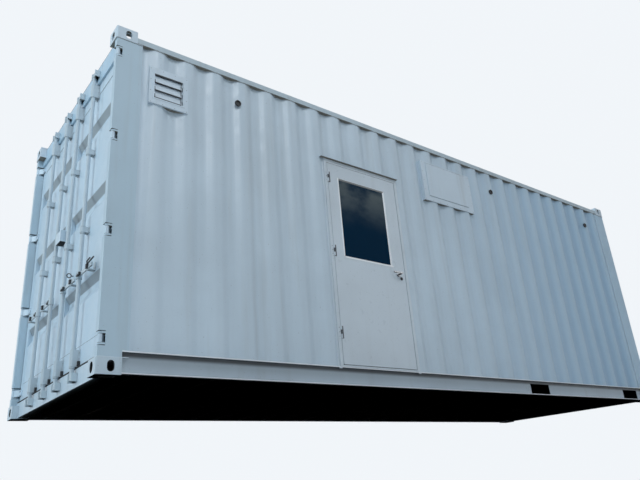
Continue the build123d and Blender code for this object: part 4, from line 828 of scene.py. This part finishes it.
# Bolts on the guides and brackets of the locking bars, and the welds of the brackets and the leaf panels
TO_REAR = (-1, 0, 0)
BOLT_ASIDE = (GUIDE_SLEEVE + GUIDE_WING) / 2
GUIDE_BOLTS = (-0.013, 0.013)
BRACKET_BOLTS = (-0.045, 0.0, 0.045)
BRACKET_HALF = 0.0655
for leaf, side in LEAVES:
    bolts, beads = bmesh.new(), bmesh.new()
    for y in BARS.values():
        if y * side < 0:
            continue
        for level in GUIDE_LEVELS:
            for dy in (-BOLT_ASIDE, BOLT_ASIDE):
                for dz in GUIDE_BOLTS:
                    bolt(bolts, (PANEL_FACE - GUIDE_PLATE, y + dy, level + dz), TO_REAR, 0.0045)
        for level in BRACKET_LEVELS:
            for dy in (-BOLT_ASIDE, BOLT_ASIDE):
                for dz in BRACKET_BOLTS:
                    bolt(bolts, (LEAF_FACE - GUIDE_PLATE, y + dy, level + dz), TO_REAR, 0.0050)
            for edge in (-1, 1):
                x, z = LEAF_FACE - 0.001, level + edge * BRACKET_HALF
                weld_bead(beads, [(x, y - GUIDE_WING, z), (x, y + GUIDE_WING, z)], 0.0028, 0.010)
    low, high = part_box("right_leaf_panel" if side < 0 else "left_leaf_panel")
    for z in (low.z, high.z):
        weld_bead(beads, [(LEAF_FACE + 0.001, low.y, z), (LEAF_FACE + 0.001, high.y, z)], 0.0025)
    piece(f"{leaf}_bolts", bolts, leaf, "gear_paint")
    piece(f"{leaf}_welds", beads, leaf, "door_paint")

# Bolts through the hinge blades, four through each blade
BLADE_FACE = LEAF_FACE - 0.011
for leaf, side in LEAVES:
    bolts = bmesh.new()
    for level in HINGE_LEVELS:
        for y in (1.134, 1.100):
            for dz in (-0.017, 0.017):
                bolt(bolts, (BLADE_FACE, side * y, level + dz), TO_REAR, 0.0060)
    piece(f"{leaf}_hinge_bolts", bolts, leaf, "door_paint")

# Rubber lip along the foot and the meeting edge of each leaf, and a painted strip along its head
LIP_OUTER = 1.148
LIP_INNER = 0.012
LIP_X = -3.7435
LIP_Z = 0.1600
MEETING_X = -3.726
MEETING_Y = 0.0062
MEETING_Z = (0.165, 2.688)
HEAD_X = -3.7275
HEAD_Z = 2.6945
for leaf, side in LEAVES:
    lip = bmesh.new()
    outer, inner = side * LIP_OUTER, side * LIP_INNER
    tube(lip, walk([(LIP_X, outer, LIP_Z), (LIP_X, inner, LIP_Z)]), 0.0055)
    low = (LIP_X - 0.0005, min(outer, inner), LIP_Z - 0.0005)
    high = (LEAF_FACE + 0.001, max(outer, inner), LIP_Z + 0.0040)
    block(lip, low, high, edge=0.001)
    y = side * MEETING_Y
    tube(lip, walk([(MEETING_X, y, MEETING_Z[0]), (MEETING_X, y, MEETING_Z[1])]), 0.0034)
    piece(f"{leaf}_lip", lip, leaf, "seal_rubber")
    head = bmesh.new()
    tube(head, walk([(HEAD_X, outer, HEAD_Z), (HEAD_X, inner, HEAD_Z)]), 0.0040)
    piece(f"{leaf}_head_strip", head, leaf, "gear_paint")

# Dark bead where the header meets the roof
HEADER_INSET = 0.0045
low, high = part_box("door_header")
x, z = low.x + HEADER_INSET, high.z - HEADER_INSET
bead = bmesh.new()
tube(bead, walk([(x, low.y + 0.01, z), (x, high.y - 0.01, z)]), 0.0055, ripple=0.04)
piece("header_bead", bead, "container", "seal_rubber")

# Handle root, latch and grip of each locking bar, and the collars beside its brackets and guides; the dark
# block at the root is painted shade, and the latch is a real part made dark as painted shade
ROOT = (-0.002, 0.066)
ROOT_FACE = BAR_X - 0.0265
ROOT_PINS = (0.020, 0.050)
PIN_PROFILE = [(-0.001, 0.008), (0.003, 0.008), (0.005, 0.006)]
LATCH = (CATCH_REACH - 0.022, CATCH_REACH + 0.004)
LATCH_X = -3.8000
GRIP = (0.268, 0.309)
GRIP_HALF = 0.0165
BRACKET_END = 0.0665
BRACKET_COLLAR = [(0.0, 0.0205), (0.001, 0.0225), (0.009, 0.0225), (0.010, 0.0205)]
GUIDE_END = 0.0265
GUIDE_COLLAR = [(0.0, 0.0195), (0.001, 0.0205), (0.007, 0.0205), (0.008, 0.0190)]


def beside(y, side, reach):
    """Low and high end of a stretch that is given by its distances from a bar's middle."""
    return sorted((y + side * reach[0], y + side * reach[1]))


for number, y in BARS.items():
    side = -1 if y < 0 else 1
    gear, root_shade_and_latch = bmesh.new(), bmesh.new()
    y0, y1 = beside(y, side, ROOT)
    block(root_shade_and_latch, (ROOT_FACE, y0, HANDLE_Z - 0.015), (BAR_X - 0.0080, y1, HANDLE_Z + 0.012), edge=0.003)
    for dy in ROOT_PINS:
        turned(gear, (ROOT_FACE, y + side * dy, HANDLE_Z), TO_REAR, PIN_PROFILE, 10)
    y0, y1 = beside(y, side, LATCH)
    block(root_shade_and_latch, (LATCH_X, y0, 0.8985), (LATCH_X + 0.0360, y1, 0.9080))
    block(root_shade_and_latch, (LATCH_X, y0, 0.8700), (LATCH_X + 0.0140, y1, 0.9060))
    piece(f"locking_bar_{number}_latch_and_root_shade", root_shade_and_latch, f"locking_bar_{number}", "dark_plastic")
    y0, y1 = beside(y, side, GRIP)
    low = (BAR_X - 0.0115, y0, HANDLE_Z - GRIP_HALF)
    high = (BAR_X + 0.0035, y1, HANDLE_Z + GRIP_HALF)
    block(gear, low, high, edge=0.003)
    for level, reach in zip(BRACKET_LEVELS, (-1, 1)):
        turned(gear, (BAR_X, y, level + reach * BRACKET_END), (0, 0, reach), BRACKET_COLLAR, 20)
    for level in GUIDE_LEVELS:
        for reach in (-1, 1):
            turned(gear, (BAR_X, y, level + reach * GUIDE_END), (0, 0, reach), GUIDE_COLLAR, 20)
    piece(f"locking_bar_{number}_fittings", gear, f"locking_bar_{number}", "gear_paint")

# Dark blocks of painted shade beside the foot of each locking bar
FOOT_SHADE_Z = (0.1640, 0.2060)
for leaf, side in LEAVES:
    foot_shades = bmesh.new()
    for y in BARS.values():
        if y * side > 0:
            low = (LEAF_FACE - 0.022, y - 0.0420, FOOT_SHADE_Z[0])
            high = (LEAF_FACE + 0.001, y - 0.0340, FOOT_SHADE_Z[1])
            block(foot_shades, low, high)
    piece(f"{leaf}_stops", foot_shades, leaf, "dark_plastic")

# Seal rods on the first handle, as (start, end, radius), with the pin that joins them
ROD_X = -3.790
RODS = (
    ((-0.800, 0.9080), (-0.955, 0.9190), 0.0062),
    ((-0.800, 0.9340), (-0.872, 0.9400), 0.0050),
)
rods = bmesh.new()
for start, end, radius in RODS:
    tube(rods, walk([(ROD_X, *start), (ROD_X, *end)], step=0.03), radius, sides=10)
tube(rods, [(ROD_X, -0.806, 0.905), (ROD_X, -0.806, 0.9385)], 0.0050)
piece("seal_rods", rods, "locking_bar_1", "dark_plastic")

# Padlock eye beside the second bar
EYE_AT = (-3.7640, -0.262, 0.990)
EYE_RADIUS = 0.018
eye = bmesh.new()
x, y, z = EYE_AT
circle = [(x + EYE_RADIUS * math.cos(t), y, z + EYE_RADIUS * math.sin(t)) for t in full_turn(20)]
tube(eye, circle, 0.0042, closed=True)
tube(eye, [(PANEL_FACE + 0.001, y, z), (-3.7450, y, z)], 0.0040)
piece("padlock_eye", eye, "right_cargo_door", "dark_plastic")

# Dark plates of painted shade in the lock box and in the hinge notches of the right-hand post
NOTCH_X = (-3.7515, -3.7400)
NOTCH_Y = (-1.1650, -1.1592)
NOTCH_HALF = 0.0505
shade_plate = bmesh.new()
low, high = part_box("lock_box")
shade_plate_low = (low.x + 0.0035, low.y + 0.0035, low.z + 0.003)
shade_plate_high = (high.x + 0.001, high.y - 0.0035, low.z + 0.008)
block(shade_plate, shade_plate_low, shade_plate_high, edge=0.001)
piece("lock_box_shade_plate", shade_plate, "left_cargo_door", "underside_paint")
shade_plate = bmesh.new()
for level in HINGE_LEVELS:
    low = (NOTCH_X[0], NOTCH_Y[0], level - NOTCH_HALF)
    high = (NOTCH_X[1], NOTCH_Y[1], level + NOTCH_HALF)
    block(shade_plate, low, high, edge=0.001)
piece("hinge_notch_shade_plate", shade_plate, "container", "underside_paint")

# Dark strips of painted shade in the slots of the louvre vent, as (level, height), and one up its side
# toward the closed end
VENT_SLOTS = ((2.5270, 0.0110), (2.4485, 0.0080), (2.3705, 0.0080), (2.2990, 0.0075))
SLOT_SHADE_X = (-3.4740, -3.2300)
SLOT_SHADE_BACK = -1.2200
slot_shades = bmesh.new()
for level, height in VENT_SLOTS:
    low = (SLOT_SHADE_X[0], -1.2280, level - height / 2)
    high = (SLOT_SHADE_X[1], SLOT_SHADE_BACK, level + height / 2)
    block(slot_shades, low, high, edge=0.001)
block(slot_shades, (-3.2345, -1.2270, 2.2970), (SLOT_SHADE_X[1], SLOT_SHADE_BACK, 2.5325), edge=0.001)
piece("vent_slot_shade_strips", slot_shades, "container", "dark_plastic")

# Dark discs of painted shade in the bores of the breather vents, by their distances from the door end
BREATHERS = (1.146, 4.820, 7.010)
BORE_SHADE_Z = 2.521
BORE_SHADE_DROP = 0.008
BORE_SHADE_PROFILE = [(0.0, 0.0225), (0.006, 0.0225), (0.0065, 0.018)]
bore_shades = bmesh.new()
for i, distance in enumerate(BREATHERS):
    at = (distance - END, -1.2120, BORE_SHADE_Z - BORE_SHADE_DROP * i)
    turned(bore_shades, at, TO_RIGHT, BORE_SHADE_PROFILE, 16)
piece("breather_bore_shades", bore_shades, "container", "dark_plastic")

# Lock cylinder of the personnel door with the bar of its key slot, and two screws of the lever's rose
LOCK_AT = (-0.806, -1.2170, 1.098)
LOCK_PROFILE = [(-0.001, 0.0170), (0.003, 0.0170), (0.005, 0.0150), (0.006, 0.0100), (0.010, 0.0095)]
ROSE_AT = (-0.842, -1.226, 1.139)
lock = bmesh.new()
turned(lock, LOCK_AT, TO_RIGHT, LOCK_PROFILE, 24)
x, y, z = LOCK_AT
block(lock, (x - 0.0012, y - 0.0112, z - 0.005), (x + 0.0012, y - 0.009, z + 0.005), edge=0.0004)
for dz in (-0.018, 0.018):
    rivet(lock, (ROSE_AT[0], ROSE_AT[1], ROSE_AT[2] + dz), TO_RIGHT, 0.0028)
piece("lock_cylinder", lock, "personnel_door", "bright_steel")

# Drip rail at the foot of the personnel door, and the sill and upright of its window in near white paint as
# a painted highlight
drip = bmesh.new()
block(drip, (-1.655, -1.2238, 0.1845), (-0.755, -1.2165, 0.2000))
piece("drip_rail", drip, "personnel_door", "personnel_paint")
low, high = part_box("personnel_door_trim")
sill = bmesh.new()
x, front, back = low.x - 0.004, low.y - 0.0015, low.y + 0.008
block(sill, (x, front, low.z - 0.004), (high.x + 0.012, back, low.z + 0.015))
block(sill, (x, front, low.z), (low.x + 0.0105, back, high.z + 0.002))
piece("glazing_sill", sill, "personnel_door", "personnel_paint")

# Head strip and feet of the personnel door's frame, and the screws of its threshold
THRESHOLD_SCREWS = 6
strips = bmesh.new()
block(strips, (-1.6655, -1.2188, 2.1966), (-0.7445, -1.2125, 2.2035), edge=0.001)
for x in (DOOR_X[0] + 0.004, DOOR_X[1] - 0.004):
    block(strips, (x - 0.016, -1.2185, 0.1500), (x + 0.016, -1.2080, 0.1660))
piece("door_head_strip", strips, "container", "personnel_paint")
screws = bmesh.new()
for i in range(THRESHOLD_SCREWS):
    rivet(screws, (DOOR_X[0] + 0.06 + 0.174 * i, -1.200, 0.182), (0, 0, 1), 0.0040)
piece("threshold_screws", screws, "container", "bright_steel")

# Floor screws over the cross members
FIRST_MEMBER = -3.5135
MEMBER_FLANGE = 0.022
MEMBER_PITCH = 0.305
MEMBERS = 23
SCREW_ROWS = [-1.08 + 0.27 * j for j in range(9)]
SCREW_HEAD = [(-0.001, 0.006), (0.0004, 0.006), (0.0008, 0.004)]
screws = bmesh.new()
floor_low, floor_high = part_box("plywood_floor")
for i in range(MEMBERS):
    x = FIRST_MEMBER + MEMBER_FLANGE + MEMBER_PITCH * i
    for y in SCREW_ROWS:
        if floor_low.x < x < floor_high.x:
            turned(screws, (x, y, floor_high.z), (0, 0, 1), SCREW_HEAD, 8)
piece("floor_screws", screws, "container", "bright_steel")

# Lashing rings along the inside of both walls, just over the floor
RING_WALL = WALL_LEVEL - WAVE_DEPTH - 0.002
RING_PLATE = 0.006
RING_Z = 0.235
RING_RADIUS = 0.022
rings_mesh = bmesh.new()
for side in (-1, 1):
    for i in range(6):
        x = FIRST_RECESS + WAVE_PITCH * (3 + 4 * i)
        if side < 0 and DOOR_X[0] - 0.1 < x < DOOR_X[1] + 0.1:
            continue
        y0, y1 = sorted((side * RING_WALL, side * (RING_WALL - RING_PLATE)))
        block(rings_mesh, (x - 0.03, y0, RING_Z - 0.020), (x + 0.03, y1, RING_Z + 0.020), edge=0.001)
        arc = [math.pi * k / 10 for k in range(11)]
        root, bow = side * (RING_WALL - 0.002), side * (RING_WALL - 0.010)
        line = [(x + RING_RADIUS * math.cos(t), bow, RING_Z - 0.030 * math.sin(t)) for t in arc]
        feet = [(x + RING_RADIUS, root, RING_Z + 0.003), (x - RING_RADIUS, root, RING_Z + 0.003)]
        tube(rings_mesh, [feet[0]] + line + [feet[1]], 0.005)
piece("lashing_rings", rings_mesh, "container", "white_paint")

# Studio floor, which is seen from above only
FLOOR_REACH = 60.0
r = FLOOR_REACH
floor_mesh = bpy.data.meshes.new("studio_floor")
floor_mesh.from_pydata([(-r, -r, 0), (r, -r, 0), (r, r, 0), (-r, r, 0)], [], [(0, 1, 2, 3)])
studio_floor = bpy.data.objects.new("studio_floor", floor_mesh)
studio_floor.location.z = -0.0005
bpy.context.scene.collection.objects.link(studio_floor)
s = Surface("studio_floor_finish", 0.9)
floor_material = s.finish(s.mix(s.noise(0.6, 2.0), FLOOR_PALE, FLOOR_PALER))
back = s.node("ShaderNodeNewGeometry").outputs["Backfacing"]
clear = s.node("ShaderNodeBsdfTransparent").outputs[0]
pick = s.node("ShaderNodeMixShader", {0: back, 1: s.shader.outputs[0], 2: clear}).outputs[0]
s.tree.links.new(pick, s.tree.nodes["Material Output"].inputs[0])
floor_mesh.materials.append(floor_material)

# Soft light from all round, and a pale background for the camera, reflections and glass
world = bpy.data.worlds.new("studio_world")
bpy.context.scene.world = world
world.use_nodes = True
tree = world.node_tree
ambient = tree.nodes["Background"]
ambient.inputs[0].default_value = AMBIENT_LIGHT
ambient.inputs[1].default_value = 0.27
seen = tree.nodes.new("ShaderNodeBackground")
seen.inputs[0].default_value = BACKGROUND
paths = tree.nodes.new("ShaderNodeLightPath")
either = paths.outputs["Is Camera Ray"]
for name in ("Is Glossy Ray", "Is Transmission Ray"):
    biggest = tree.nodes.new("ShaderNodeMath")
    biggest.operation = "MAXIMUM"
    tree.links.new(either, biggest.inputs[0])
    tree.links.new(paths.outputs[name], biggest.inputs[1])
    either = biggest.outputs[0]
choose = tree.nodes.new("ShaderNodeMixShader")
tree.links.new(either, choose.inputs[0])
tree.links.new(ambient.outputs[0], choose.inputs[1])
tree.links.new(seen.outputs[0], choose.inputs[2])
tree.links.new(choose.outputs[0], tree.nodes["World Output"].inputs[0])


def lamp(name, at, aim, size, level, colour=(0.92, 0.96, 1.0)):
    """A square soft lamp that gives about the stated level at what it is aimed at."""
    at, aim = Vector(at), Vector(aim)
    data = bpy.data.lights.new(name, "AREA")
    data.size = size
    data.color = colour
    data.energy = level * math.pi ** 2 * (aim - at).length_squared
    made = bpy.data.objects.new(name, data)
    made.location = at
    made.rotation_mode = "QUATERNION"
    made.rotation_quaternion = (aim - at).to_track_quat("-Z", "Y")
    bpy.context.scene.collection.objects.link(made)


lamp("top_lamp", (0.0, 0.0, 10.0), (0.0, 0.0, 2.9), 9.0, 0.50)
lamp("end_lamp", (-13.0, 1.6, 5.5), (-3.8, 0.0, 1.4), 5.0, 0.40, (0.74, 0.91, 1.0))
lamp("side_lamp", (-5.6, -7.8, 7.8), (-1.0, -1.2, 1.8), 3.0, 0.24)
lamp("back_lamp", (6.0, 12.0, 6.0), (0.5, 1.2, 1.4), 7.0, 0.25)

camera_data = bpy.data.cameras.new("photo_camera")
camera_data.lens = CAMERA_LENS
camera_data.sensor_width = 36.0
camera_data.clip_start = 0.05
camera_data.clip_end = 300.0
camera = bpy.data.objects.new("photo_camera", camera_data)
backward = CAMERA_RIGHT.cross(CAMERA_UP)
turn = Matrix((CAMERA_RIGHT, CAMERA_UP, backward)).transposed()
camera.matrix_world = Matrix.Translation(CAMERA_AT) @ turn.to_4x4()
bpy.context.scene.collection.objects.link(camera)
bpy.context.scene.camera = camera
bpy.context.scene.view_settings.view_transform = "Standard"
